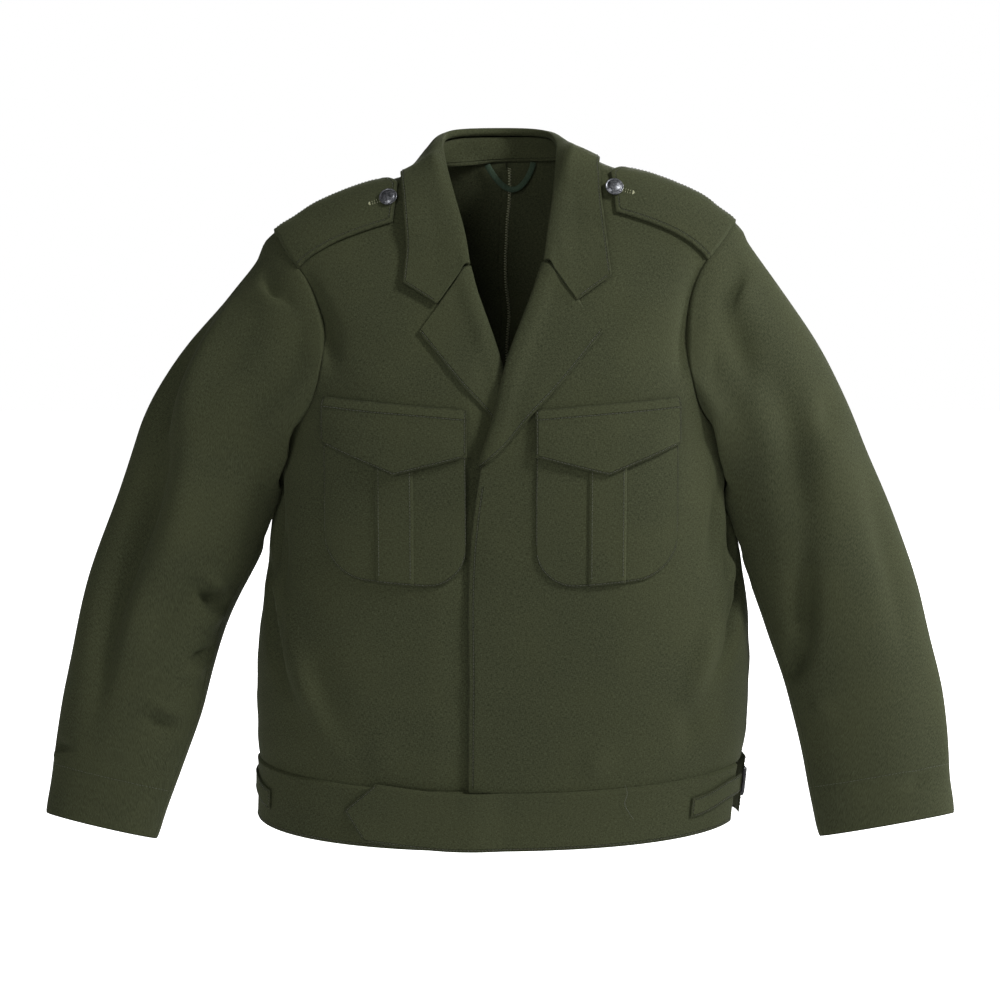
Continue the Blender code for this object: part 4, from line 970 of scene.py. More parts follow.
def inset_paths(outer, normal, far, line):
    """The paths of a sewn line on a grid: for each of its sides the points at its distance from that side."""
    paths = []
    for side in line.sides:
        stack = np.concatenate([outer, normal, np.stack([far[s] for s in "lrdu"], axis=-1)], axis=-1)
        walk = stack.transpose(1, 0, 2) if side in "lr" else stack
        walk = walk[:, ::-1] if side in "ru" else walk
        depth = walk[..., 6 + "lrdu".index(side)]
        k = np.clip((depth < line.distance).sum(axis=1), 1, depth.shape[1] - 1)
        rows = np.arange(len(walk))
        t = (line.distance - depth[rows, k - 1]) / np.maximum(depth[rows, k] - depth[rows, k - 1], 1e-6)
        found = blend(walk[rows, k - 1], walk[rows, k], np.clip(t, 0, 1)[:, None])
        by = found[:, 6 + "lrdu".index(line.by)]
        keep = (by >= line.low) & (by <= line.high)
        for other in "lrdu":
            least = line.distance - 0.3 if other in line.sides else 0.8
            if other != side:
                keep &= found[:, 6 + "lrdu".index(other)] >= least
        if keep.sum() > 2:
            paths.append((found[keep, :3], unit(found[keep, 3:6])))
    return paths


def stitches(name, paths, finish, pitch=None, length=None, radius=None, raised=0.10):
    """One mesh of all the stitches along the paths: each is a short round thread that dips into the cloth at
    both ends. Its middle line is a chord of the path, raised by one minus the fourth power of the place along
    it."""
    pitch = pitch or in_mm(sizes().stitch_pitch)
    length = length or in_mm(sizes().stitch_length)
    radius = radius or in_mm(sizes().thread_radius)
    starts, ends, ups = [], [], []
    for points, normals in paths:
        arc = np.concatenate([[0.0], np.linalg.norm(np.diff(points, axis=0), axis=1).cumsum()])
        count = int((arc[-1] - 1.0) / pitch)
        if count < 1:
            continue
        middle = 0.5 * (arc[-1] - count * pitch) + pitch * (np.arange(count) + 0.5)
        starts.append(between(middle - length / 2, arc, points))
        ends.append(between(middle + length / 2, arc, points))
        ups.append(unit(between(middle, arc, normals)))
    start, end, up = (np.concatenate(part) for part in (starts, ends, ups))
    t = np.array([0.0, 0.22, 0.5, 0.78, 1.0])
    sides = 6
    turns = np.radians(np.arange(0, 360, 60))
    way = unit(end - start)
    side = unit(np.cross(way, up))
    height = raised + radius * (1 - 2.2 * (2 * t - 1) ** 4)
    wide = radius * np.array([0.6, 0.95, 1.0, 0.95, 0.6])
    spine = blend(start[:, None], end[:, None], t[None, :, None]) + up[:, None] * height[None, :, None]
    around = np.cos(turns)[None, :, None] * side[:, None] + np.sin(turns)[None, :, None] * up[:, None]
    points = spine[:, :, None] + around[:, None] * wide[None, :, None, None]
    ring = np.arange(len(t) * sides).reshape(len(t), sides)
    low, high = ring[:-1], ring[1:]
    band = np.stack([low, np.roll(low, -1, axis=1), np.roll(high, -1, axis=1), high], axis=-1)
    caps = np.array([[0, 3, 2, 1], [0, 5, 4, 3]])
    one = np.concatenate([band.reshape(-1, 4), caps, caps[:, ::-1] + sides * (len(t) - 1)])
    faces = (one[None] + (np.arange(len(start)) * len(t) * sides)[:, None, None]).reshape(-1, 4)
    piece = add_mesh(name, points, faces, finish)
    return piece


def tube(name, points, radius, finish, sides=8):
    """A round thread along a path of points, thinner towards both ends."""
    way = unit(np.gradient(points, axis=0))
    side = unit(np.cross(way, np.array([0.13, -1.0, 0.21])))
    up = np.cross(side, way)
    turns = np.linspace(0, 2 * np.pi, sides, endpoint=False)
    from_end = np.minimum(np.linspace(0, 1, len(points)), np.linspace(1, 0, len(points)))
    width = radius * np.minimum(1.0, 0.35 + 4 * from_end)
    around = np.cos(turns)[:, None, None] * side + np.sin(turns)[:, None, None] * up
    grid = points[None] + around * width[:, None]
    return add_mesh(name, grid, grid_faces(grid.shape, wrap=True), finish)


def sew(name, sheet, lines, more=(), **thread):
    """The stitches along the sewn lines of a sheet, as shell returns it, and along more paths."""
    _, outer, normal, far = sheet
    paths = [path for line in lines for path in inset_paths(outer, normal, far, line)]
    return stitches(name, paths + list(more), sewing_thread(), **thread)


def dress(piece, cut, *nodes, slot="cloth", extras=()):
    """Hides the CAD parts that a sheet of cloth stands for; the piece, its cut, its slot and the sewing in
    extras are not used.
    """
    if nodes:
        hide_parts(*nodes)


# Shader groups and finishes


class Nodes:
    """Short-hand for building a node tree: adds nodes and joins their sockets."""

    def __init__(self, tree):
        self.tree = tree

    def fill(self, inputs, values):
        """Joins or sets each named or numbered input."""
        for key, value in values.items():
            if isinstance(value, bpy.types.NodeSocket):
                self.tree.links.new(value, inputs[key])
            else:
                inputs[key].default_value = value

    def add(self, kind, values=None, **settings):
        """A new node with its settings and inputs."""
        node = self.tree.nodes.new(kind)
        for key, value in settings.items():
            setattr(node, key, value)
        self.fill(node.inputs, values or {})
        return node

    def math(self, operation, first, second=0.0, third=0.0):
        """The result of one sum on up to three values."""
        return self.add("ShaderNodeMath", {0: first, 1: second, 2: third}, operation=operation).outputs[0]

    def mix(self, share, first, second):
        """A colour between two colours; inputs 6 and 7 and output 2 are the node's colour sockets."""
        return self.add("ShaderNodeMix", {0: share, 6: first, 7: second}, data_type="RGBA").outputs[2]

    def noise(self, place_at, scale, detail, **more):
        """A noise texture's value."""
        values = {"Vector": place_at, "Scale": scale, "Detail": detail, **more}
        return self.add("ShaderNodeTexNoise", values).outputs["Fac"]

    def ramp(self, value, low, high, start=0.0, end=1.0):
        """A smooth step of a value from one range to another."""
        node = self.add(
            "ShaderNodeMapRange",
            {"Value": value, "From Min": low, "From Max": high, "To Min": start, "To Max": end},
            interpolation_type="SMOOTHSTEP",
        )
        return node.outputs[0]


def new_group(name, inputs, outputs):
    """An empty shader group with named sockets; returns its builder, its input sockets and its output node's
    sockets."""
    tree = bpy.data.node_groups.new(name, "ShaderNodeTree")
    for key, kind, value in inputs:
        socket = tree.interface.new_socket(name=key, in_out="INPUT", socket_type=kind)
        if value is not None:
            socket.default_value = value
    for key, kind in outputs:
        tree.interface.new_socket(name=key, in_out="OUTPUT", socket_type=kind)
    made = Nodes(tree)
    return made, made.add("NodeGroupInput").outputs, made.add("NodeGroupOutput").inputs


def weave_group():
    """Twill: diagonal ridges of warp over weft. Gives their height and a tone for each crossing."""
    made, given, out = new_group(
        "Twill weave",
        [("Vector", "NodeSocketVector", None), ("Threads per metre", "NodeSocketFloat", 1500.0)],
        [("Height", "NodeSocketFloat"), ("Tone", "NodeSocketFloat")],
    )
    split = made.add("ShaderNodeSeparateXYZ", {0: given["Vector"]})
    u, v = (made.math("MULTIPLY", split.outputs[i], given["Threads per metre"]) for i in (0, 1))
    half_turn = 3.14159
    ridge = made.math("SINE", made.math("MULTIPLY", made.math("ADD", u, v), half_turn))
    warp, weft = (
        made.math("ABSOLUTE", made.math("SINE", made.math("MULTIPLY", yarn, half_turn))) for yarn in (u, v)
    )
    over = made.math("MULTIPLY_ADD", ridge, 0.5, 0.5)
    warp_height = made.math("MULTIPLY", warp, over)
    weft_height = made.math("MULTIPLY", weft, made.math("SUBTRACT", 1.0, over))
    height = made.math("ADD", warp_height, weft_height)
    cell = made.add("ShaderNodeCombineXYZ", {0: made.math("FLOOR", u), 1: made.math("FLOOR", v)})
    noise = made.add("ShaderNodeTexWhiteNoise", {"Vector": cell.outputs[0]}, noise_dimensions="2D")
    made.fill(out, {"Height": height, "Tone": noise.outputs["Value"]})
    return made.tree


def melange_group():
    """Yarns of unlike dye: long slubs along warp and weft, light specks and slow cloudiness, as shares from 0
    to 1."""
    made, given, out = new_group(
        "Melange yarn",
        [("Map", "NodeSocketVector", None), ("Place", "NodeSocketVector", None)],
        [("Slub", "NodeSocketFloat"), ("Speck", "NodeSocketFloat"), ("Cloud", "NodeSocketFloat")],
    )
    slubs = []
    for stretch in ((1500.0, 380.0, 1.0), (380.0, 1500.0, 1.0)):
        scaled = made.add("ShaderNodeVectorMath", {0: given["Map"], 1: stretch}, operation="MULTIPLY")
        slubs.append(made.noise(scaled.outputs[0], 1.0, 2.0))
    slub = made.math("MULTIPLY", made.math("ADD", slubs[0], slubs[1]), 0.5)
    speck = made.noise(given["Place"], 1100.0, 1.0)
    cloud = made.noise(given["Place"], 14.0, 2.0, Roughness=0.45)
    made.fill(out, {"Slub": made.ramp(slub, 0.30, 0.70)})
    made.fill(out, {"Speck": made.ramp(speck, 0.56, 0.74)})
    made.fill(out, {"Cloud": made.ramp(cloud, 0.34, 0.68)})
    return made.tree


def sewing_group():
    """Masks of the sewing: a groove along each sewn line, and the strip along the turned edge where shade is
    painted, uneven along it by noise.
    """
    made, given, out = new_group(
        "Sewn marks",
        [
            ("Rim", "NodeSocketFloat", 1.0),
            ("Line A", "NodeSocketFloat", 1.0),
            ("Line B", "NodeSocketFloat", 1.0),
            ("Place", "NodeSocketVector", None),
        ],
        [("Groove", "NodeSocketFloat"), ("Edge", "NodeSocketFloat")],
    )
    grooves = [
        made.ramp(made.math("ABSOLUTE", given[key]), 0.00015, 0.0011, 1.0, 0.0)
        for key in ("Line A", "Line B")
    ]
    rough = made.noise(given["Place"], 140.0, 3.0)
    # The edge mask marks painted shade: a dark strip next to each turned edge that stands for the shadow line
    # there.
    edge = made.ramp(given["Rim"], 0.0003, 0.0020, 1.0, 0.0)
    wear_and_edge_shade = made.math("MULTIPLY", edge, made.ramp(rough, 0.35, 0.65, 0.35, 1.0))
    made.fill(out, {"Groove": made.math("MAXIMUM", grooves[0], grooves[1]), "Edge": wear_and_edge_shade})
    return made.tree


def group_of(name, build):
    """A shader group by name, built once."""
    return bpy.data.node_groups.get(name) or build()


def new_finish(name):
    """A new material: the material, its builder, its shader's inputs and its Object coordinates."""
    made = bpy.data.materials.new(name)
    made.use_nodes = True
    nodes = Nodes(made.node_tree)
    shader = made.node_tree.nodes["Principled BSDF"].inputs
    return made, nodes, shader, nodes.add("ShaderNodeTexCoord").outputs["Object"]


def cloth_finish(name, dark, light, sheen, threads):
    """Woven cloth: two dyed tones mixed by yarn, twill relief, sewn grooves with painted shade in them, and
    painted shade along the turned edges.
    """
    made, nodes, shader, place_at = new_finish(name)
    cut_map = nodes.add("ShaderNodeUVMap", uv_map="Cut").outputs["UV"]
    weave = nodes.add("ShaderNodeGroup", node_tree=group_of("Twill weave", weave_group))
    melange = nodes.add("ShaderNodeGroup", node_tree=group_of("Melange yarn", melange_group))
    sewn = nodes.add("ShaderNodeGroup", node_tree=group_of("Sewn marks", sewing_group))
    nodes.fill(weave.inputs, {"Vector": cut_map, "Threads per metre": threads})
    nodes.fill(melange.inputs, {"Map": cut_map, "Place": place_at})
    nodes.fill(sewn.inputs, {"Place": place_at})
    for key, attribute in (("Rim", "rim"), ("Line A", "line_a"), ("Line B", "line_b")):
        node = nodes.add("ShaderNodeAttribute", attribute_name=attribute)
        nodes.fill(sewn.inputs, {key: node.outputs["Fac"]})
    slub = melange.outputs["Slub"]
    colour = nodes.mix(slub, (*dark, 1), (*light, 1))
    middle = (*[(a + b) / 2 for a, b in zip(dark, light)], 1)
    pale = (*[min(c * 2.1 + 0.01, 1.0) for c in light], 1)
    warm = (light[0] * 1.06, light[1] * 1.02, light[2] * 0.88, 1)
    # Painted shade: this colour darkens the strip along the turned edges, where a shadow line would fall.
    wear_and_edge_shade = (*[c * 0.5 for c in dark], 1)
    # Painted shade: this colour darkens the cloth in the sewn grooves, where shade falls.
    groove_shade = (*[c * 0.4 for c in dark], 1)
    for mark, share, tone in (
        (weave.outputs["Tone"], 0.35, middle),
        (melange.outputs["Speck"], 0.12, pale),
        (melange.outputs["Cloud"], 0.16, warm),
        (sewn.outputs["Edge"], 0.45, wear_and_edge_shade),
        (sewn.outputs["Groove"], 0.25, groove_shade),
    ):
        colour = nodes.mix(nodes.math("MULTIPLY", mark, share), colour, tone)
    rough = nodes.math("MULTIPLY_ADD", slub, -0.10, 0.94)
    half_height = nodes.math("MULTIPLY", weave.outputs["Height"], 0.5)
    relief = nodes.math("MULTIPLY_ADD", slub, 0.5, half_height)
    weave_depth = 0.00034 * sizes().weave_depth
    fine = nodes.add("ShaderNodeBump", {"Height": relief, "Strength": 0.55, "Distance": weave_depth})
    deep = nodes.add(
        "ShaderNodeBump",
        {"Height": sewn.outputs["Groove"], "Strength": 0.9, "Distance": 0.0007, "Normal": fine.outputs[0]},
        invert=True,
    )
    nodes.fill(shader, {
        "Base Color": colour,
        "Roughness": rough,
        "Normal": deep.outputs[0],
        "Specular IOR Level": 0.18,
        "Sheen Weight": sheen,
        "Sheen Roughness": 0.45,
        "Sheen Tint": (0.60, 0.68, 0.36, 1),
    })
    return made


def thread_finish(name, dye):
    """Sewing thread: one dye with a fine uneven tone and a soft shine."""
    made, nodes, shader, place_at = new_finish(name)
    noise = nodes.noise(place_at, 900.0, 2.0)
    colour = nodes.mix(noise, (*[c * 0.6 for c in dye], 1), (*dye, 1))
    bump = nodes.add("ShaderNodeBump", {"Height": noise, "Strength": 0.3, "Distance": 0.0001})
    nodes.fill(
        shader, {"Base Color": colour, "Normal": bump.outputs[0], "Roughness": 0.7, "Sheen Weight": 0.3}
    )
    return made


def metal_finish(name, dark, light, roughness, metallic):
    """Worn metal: a cloudy patina and fine scratches in its roughness."""
    made, nodes, shader, place_at = new_finish(name)
    patina = nodes.noise(place_at, 420.0, 5.0, Roughness=0.65)
    stretch = (2600.0, 900.0, 300.0)
    scratch_map = nodes.add("ShaderNodeVectorMath", {0: place_at, 1: stretch}, operation="MULTIPLY")
    scratch = nodes.noise(scratch_map.outputs[0], 1.0, 2.0)
    colour = nodes.mix(nodes.ramp(patina, 0.35, 0.68), (*dark, 1), (*light, 1))
    rough = nodes.math("MULTIPLY_ADD", scratch, 0.25, roughness - 0.1)
    bump = nodes.add("ShaderNodeBump", {"Height": patina, "Strength": 0.25, "Distance": 0.00012})
    nodes.fill(
        shader, {"Base Color": colour, "Roughness": rough, "Normal": bump.outputs[0], "Metallic": metallic}
    )
    return made


def finish_of(name, build, colour_names, *more):
    """A material by name, built once from the panel's colours."""
    dyes = [tuple(getattr(colours(), key)) for key in colour_names.split()]
    return bpy.data.materials.get(name) or build(name, *dyes, *more)


def olive():
    """The jacket's cloth."""
    return finish_of("olive cloth", cloth_finish, "cloth_dark cloth_light", 0.06, 1500.0)


def sewing_thread():
    """The thread of the edge stitching."""
    return finish_of("olive thread", thread_finish, "thread")


def light_thread():
    """The paler thread of the overcast edge and the buttonholes."""
    return finish_of("light olive thread", thread_finish, "pale_thread")


# The pieces


def rows_up():
    """Shares up a body panel: the lower half is the side seam, the upper half is the armhole."""
    side = shares(SIDE_LENGTH, PANEL_STEP)[:-2] / 2
    armhole = 1 - shares(ARMHOLE_LENGTH, PANEL_STEP)[:-2][::-1] / 2
    return np.concatenate([side, [0.5 - 0.002, 0.5 + 0.002], armhole])


def armhole_point(turn):
    """Angle and height of the armhole at a turn from the shoulder tip."""
    turns = column(ARMHOLE, "turn")
    found = spline(turn, turns, np.stack([column(ARMHOLE, "angle"), column(ARMHOLE, "z")], axis=1))
    return found[..., 0], found[..., 1]


def side_edge(up, way, back):
    """Side seam, then armhole up to the shoulder tip. "way" is 1 on the wearer's left and -1 on the right."""
    turn = blend(180.0, 360.0 if back else 0.0, np.clip(2 * up - 1, 0, 1))
    arm_angle, arm_z = armhole_point(turn)
    side_z = blend(waist_seam(90.0), UNDERARM_Z, np.clip(2 * up, 0, 1))
    angle = np.where(up > 0.5, arm_angle, 90.0)
    z = np.where(up > 0.5, arm_z, side_z)
    return figure(way * angle, z)


def front_edge(rows, up, way):
    """The front edge, the roll line and the neckline, up to the neck point."""
    x = np.append(column(rows, "x"), level(NECK_POINT_Z)[0] * way + level(NECK_POINT_Z)[4])
    z = np.append(column(rows, "z"), NECK_POINT_Z)
    share = np.append(column(rows, "share"), 1.0)
    found = spline(up, share, np.stack([x, z], axis=1))
    return place(found[..., 0], found[..., 1])


def left_edge_x(z):
    """Sideways place of the wearer's left front edge at a height."""
    return spline(z, column(LEFT_FRONT_EDGE, "z"), column(LEFT_FRONT_EDGE, "x"), monotone=True)


def underlap(points):
    """How deep the wearer's right side lies where the left one covers it."""
    x, z = points[..., 0], points[..., 2]
    depth = blend(UNDERLAP_DEPTH, BREAK_UNDERLAP, ease((z + 330) / 50))
    return -depth * ease((x - left_edge_x(z) + 34) / 32)


def panel_grid(left, right, bottom, top, across, up):
    """A panel on the figure between its four edges."""
    left[0], left[-1] = bottom[0], top[0]
    right[0], right[-1] = bottom[-1], top[-1]
    grid = onto_figure(coons(bottom, top, left, right, across, up))
    grid[0], grid[-1] = left, right
    grid[:, 0], grid[:, -1] = bottom, top
    return trimmed(grid)


def front_grid(way):
    """The grid of one front panel."""
    rows = LEFT_FRONT_EDGE if way > 0 else RIGHT_FRONT_EDGE
    up = rows_up()
    across = shares(PANEL_WIDTH, FRONT_STEP)
    left = front_edge(rows, up, way)
    right = side_edge(up, way, back=False)
    start = float(angle_of(left[:1])[0])
    angles = blend(start, way * 90.0, across)
    bottom = figure(angles, waist_seam(angles))
    top = figure(way * 90.0, blend(NECK_POINT_Z, TIP_Z, across))
    return panel_grid(left, right, bottom, top, across, up)


def back_grid(way):
    """The grid of one back panel, from the centre back seam to the side."""
    up = rows_up()
    across = shares(PANEL_WIDTH, BACK_STEP)
    left = figure(way * 180.0, blend(waist_seam(180.0), BACK_NECK_Z, up))
    right = side_edge(up, way, back=True)
    angles = blend(way * 180.0, way * 90.0, across)
    bottom = figure(angles, waist_seam(angles))
    neckline = figure(blend(way * 180.0, way * 90.0, np.clip(across / NECK_SHARE, 0, 1)), BACK_NECK_Z)
    share = np.clip((across - NECK_SHARE) / (1 - NECK_SHARE), 0, 1)
    shoulder = figure(way * 90.0, blend(NECK_POINT_Z, TIP_Z, share))
    top = np.where((across < NECK_SHARE)[:, None], neckline, shoulder)
    return panel_grid(left, right, bottom, top, across, up)


def build_body():
    """Fronts and backs. The wearer's right front dips under the left one."""
    for side, way in (("left", 1), ("right", -1)):
        base = front_grid(way)
        lift = 0.0 * base[..., 0] if way > 0 else underlap(base)
        grid = cloth(base, lift)
        puckers = [("d", 0.5, 14), ("r", 0.35, 10), ("u", 0.25, 8)]
        fly = [SewLine("l", FLY_STITCH, "d", 2.0, FLY_LENGTH)]
        sheet = shell(
            f"cloth_front_{side}", grid, outward(base), lines=fly, puckers=puckers, seed=2 + way
        )
        extras = [sew("fly_sewing", sheet, fly)] if way > 0 else []
        dress(sheet[0], "front", f"front_{side}", extras=extras)
        base = back_grid(way)
        grid = cloth(base, 0.0 * base[..., 0])
        puckers = [("d", 0.5, 14), ("r", 0.35, 10), ("l", 0.25, 8)]
        sheet = shell(f"cloth_back_{side}", grid, outward(base), puckers=puckers, seed=9 + way)
        dress(sheet[0], "back", f"back_{side}")
    build_centre_seam()


def build_centre_seam():
    """The centre back seam's allowance, pressed to one side inside the back, with its overcast edge."""
    z = np.linspace(BACK_NECK_Z - 6, waist_seam(180.0) + 4, 150)
    half, _, back, _, shift = level(z)
    across = shares(ALLOWANCE_WIDTH, 1.5, 0.5)
    wander = 1.2 * ripple(z, 90, 3)
    x = shift[:, None] + ALLOWANCE_START + wander[:, None] - ALLOWANCE_WIDTH * across[None]
    y = back[:, None] * np.sqrt(1 - ((x - shift[:, None]) / half[:, None]) ** 2)
    base = np.stack([x, y, z[:, None] + 0 * x], axis=-1)
    lifted = cloth(base, -CLOTH - 0.9 - 0.9 * ease((across - 0.25) / 0.4)[None] + 0 * x)
    piece, outer, normal, _ = shell("centre_seam_allowance", lifted, FORWARD, ALLOWANCE_CLOTH)
    step = np.arange(0, len(z) - 1, OVERCAST_STEP)
    spots, ups = (between(step, np.arange(len(z)), grid[:, 1]) for grid in (outer, normal))
    paths = []
    for k, (spot, up) in enumerate(zip(spots, ups)):
        slant = OVERCAST_SLANT * (-1) ** k
        first = spot + np.array([1.3, 0.0, -slant / 2])
        last = spot + np.array([-2.6, 0.0, slant])
        paths.append((np.stack([first, last]), np.stack([up, up])))
    overcast = stitches(
        "centre_seam_overcast", paths, light_thread(), pitch=2.6, length=3.4, radius=0.26, raised=0.12
    )
    dress(piece, "seam_allowance", extras=[overcast])


def sleeve_rings(rows, way):
    """Share, centre and axis of each ring of a sleeve, with its outward and frontward directions."""
    share = column(rows, "share")
    centre = np.stack([way * column(rows, "out"), column(rows, "back"), column(rows, "z")], axis=1)
    axis = unit(np.gradient(centre, share, axis=0))
    front = unit(FORWARD - axis * (axis @ FORWARD)[:, None])
    out = way * np.cross(front, axis)
    twist = np.radians(column(rows, "twist"))[:, None]
    turned_out = out * np.cos(twist) - front * np.sin(twist)
    turned_front = front * np.cos(twist) + out * np.sin(twist)
    return share, centre, turned_out, turned_front


def sleeve_folds(way, turn, share):
    """How far the sleeve's cloth stands off its tube at its folds, its creases and its slow unevenness."""
    total = np.zeros_like(turn)
    for fold in LEFT_SLEEVE_FOLDS if way > 0 else RIGHT_SLEEVE_FOLDS:
        t = (share - fold.share_top) / (fold.share_low - fold.share_top)
        middle = blend(fold.turn_top, fold.turn_low, np.clip(t, 0, 1))
        away = (turn - middle + 180) % 360 - 180
        across = np.radians(away) * SLEEVE_RADIUS / fold.width
        total += fold_rise(fold) * swell(t, fold.peak) * np.exp(-(across**2))
    near = (turn + 90) % 360 - 90
    rows = LEFT_SLEEVE_CREASES if way > 0 else RIGHT_SLEEVE_CREASES
    total += creases(rows, near, share, DEGREE_ON_SLEEVE, SLEEVE_LENGTH)
    length = share * SLEEVE_LENGTH
    round_way = np.radians(turn)
    slow = ripple(length + 22 * np.sin(round_way), 110, 3 + way) * np.sin(2 * round_way + 0.7 * way)
    return total + SLEEVE_WAVE * slow * ease((share - 0.05) / 0.1)


def sleeve_surface(way, turn, share):
    """The outer face of a sleeve. Above the first ring it is a cubic loft from the armhole, below it a spline
    through the rings, which are ellipses."""
    rows = LEFT_SLEEVE if way > 0 else RIGHT_SLEEVE
    places, centre, out, front = sleeve_rings(rows, way)
    wide, deep = column(rows, "wide"), column(rows, "deep")
    around = np.radians(turn)

    def ring(at):
        """Points of the ellipse at each share."""
        c = spline(at, places, centre)
        w = spline(at, places, wide)[..., None]
        d = spline(at, places, deep)[..., None]
        return (
            c
            + w * np.cos(around)[..., None] * spline(at, places, out)
            + d * np.sin(around)[..., None] * spline(at, places, front)
        )

    first = places[0]
    arm_angle, arm_z = armhole_point(turn)
    below = ease(-np.cos(around) / 0.6 - 0.3)
    start = cloth(figure(way * arm_angle, arm_z), 0.9 * below)
    end = ring(np.full_like(share, first))
    reach = np.linalg.norm(end - start, axis=-1, keepdims=True)
    leave = np.stack(
        [
            way * (0.60 - (0.04 if way > 0 else 0.14) * np.cos(around)),
            -0.22 * np.sin(around),
            -0.74 - 0.07 * np.cos(around),
        ],
        axis=-1,
    )
    arrive = unit(ring(np.full_like(share, first + 0.02)) - end) * reach
    t = np.clip(share / first, 0, 1)[..., None]
    loft = (
        (2 * t**3 - 3 * t**2 + 1) * start
        + (t**3 - 2 * t**2 + t) * leave * reach
        + (3 * t**2 - 2 * t**3) * end
        + (t**3 - t**2) * arrive
    )
    points = np.where((share < first)[..., None], loft, ring(np.maximum(share, first)))
    away = unit(points - spline(share, places, centre))
    points = points + away * sleeve_folds(way, turn, share)[..., None]
    room = SLEEVE_CLEARANCE * ease(share / 0.10)
    return np.where(share[..., None] > 0, clear_of_body(points, room), points), away


def build_sleeves():
    """Each sleeve is cut in two: a top sleeve and an under sleeve."""
    share = shares(SLEEVE_LENGTH, 4.2)
    under = blend(FRONT_SLEEVE_SEAM, HIND_SLEEVE_SEAM, shares(95.0, 4.2))
    top = blend(HIND_SLEEVE_SEAM, FRONT_SLEEVE_SEAM + 360.0, shares(300.0, 3.6))
    hem = SewLine("u", CUFF_HEM)
    for side, way in (("left", 1), ("right", -1)):
        for cut, turns in (("sleeve_under", under), ("sleeve_top", top)):
            turn, at = np.meshgrid(turns % 360.0, share, indexing="ij")
            grid, away = sleeve_surface(way, turn, at)
            puckers = [("d", 0.45, 11), ("u", 0.2, 8)]
            tucks = {"d": SEAM_TUCK}
            if cut == "sleeve_under":
                tucks |= {"l": SLEEVE_TUCK, "r": SLEEVE_TUCK}
            sheet = shell(
                f"cloth_{cut}_{side}", trimmed(grid), away, puckers=puckers, seed=5 + way, tucks=tucks
            )
            sewing = sew(f"{cut}_hem_{side}", sheet, [hem], radius=0.16)
            dress(sheet[0], cut, f"{cut}_{side}", extras=[sewing])


def lapel_surface(way, across, up):
    """The outer face of a lapel: it wraps the roll line, then lies on the front."""
    rows = LEFT_FRONT_EDGE if way > 0 else RIGHT_FRONT_EDGE
    edge_rows = LEFT_LAPEL_EDGE if way > 0 else RIGHT_LAPEL_EDGE
    share = blend(LAPEL_FOOT_SHARE, LAPEL_HEAD_SHARE, up)
    roll, edge = (
        spline(at, column(line, "share"), np.stack([column(line, "x"), column(line, "z")], axis=1))
        for at, line in ((share, rows), (up, edge_rows))
    )
    from_roll = across * np.maximum(np.linalg.norm(edge - roll, axis=-1), 1.0)
    wrap_x = -ROLL_WRAP * way * np.exp(-((from_roll / ROLL_WRAP_WIDTH) ** 2))
    x = blend(roll[..., 0], edge[..., 0], across) + wrap_x
    z = blend(roll[..., 1], edge[..., 1], across)
    crest = ROLL_RISE * np.exp(-(((from_roll - ROLL_CREST) / ROLL_CREST_WIDTH) ** 2))
    lift = LAPEL_LIFT + crest - ROLL_DROP * np.exp(-from_roll / ROLL_DROP_WIDTH)
    inner = 1 - ease((across - GORGE_SHARE + 0.1) / 0.12)
    lift = lift + GORGE_RISE * ease((up - 0.93) / 0.07) * inner * ease(from_roll / 6)
    points = place(x, z)
    if way < 0:
        lift = lift + underlap(points)
    else:
        from_corner = (x - FLAP_CORNER_X) ** 2 + (z - FLAP_CORNER_Z) ** 2
        lift = lift + FLAP_CORNER_RISE * np.exp(-from_corner / FLAP_CORNER_WIDTH**2)
    return cloth(points, lift), outward(points)


def build_lapels():
    """Lapels: the fronts turned back from the roll line, up to the gorge."""
    columns = np.concatenate([[0.0, 0.012, 0.03, 0.05, 0.075], np.linspace(0.10, 0.985, 26), [1.0]])
    rows = shares(210.0, 3.4)
    lines = [SewLine("r", COLLAR_STITCH)]
    under = 1 - ease((columns[:, None] - GORGE_SHARE) / 0.05)
    for side, way in (("left", 1), ("right", -1)):
        across, up = np.meshgrid(columns, rows, indexing="ij")
        grid, away = lapel_surface(way, across, up)
        puckers = [("r", 0.35, 7), ("u", 0.3, 6)]
        sheet = shell(
            f"cloth_lapel_{side}", trimmed(grid), away, lines=lines, puckers=puckers, seed=way,
            tucks={"u": (0.02 + 2.4 * under, 2.2 * under)},
        )
        sewing = sew(f"lapel_sewing_{side}", sheet, lines)
        dress(sheet[0], "lapel", f"lapel_{side}", extras=[sewing])


def collar_curves(share):
    """Neck seam, roll line, middle and outer edge of the collar. The share runs from one gorge round to the
    other."""
    half = len(COLLAR) - 1
    places = np.linspace(0, 1, 2 * half + 1)
    turned = np.array([-1.0, 1.0, 1.0])
    curves = []
    for part in ("seam", "roll", "mid", "edge"):
        values = np.stack([column(COLLAR, f"{part}_{axis}") for axis in "xyz"], axis=1)
        both = np.concatenate([values * turned, values[-2::-1]])
        shift = column(COLLAR, "shift") if part != "seam" else np.full(len(COLLAR), NECK_SHIFT)
        inward = column(COLLAR, "left_in") * LEFT_IN_SHARE[part]
        both[:, 0] += np.concatenate([shift, (shift - inward)[-2::-1]])
        curves.append(spline(share, places, both))
    return curves


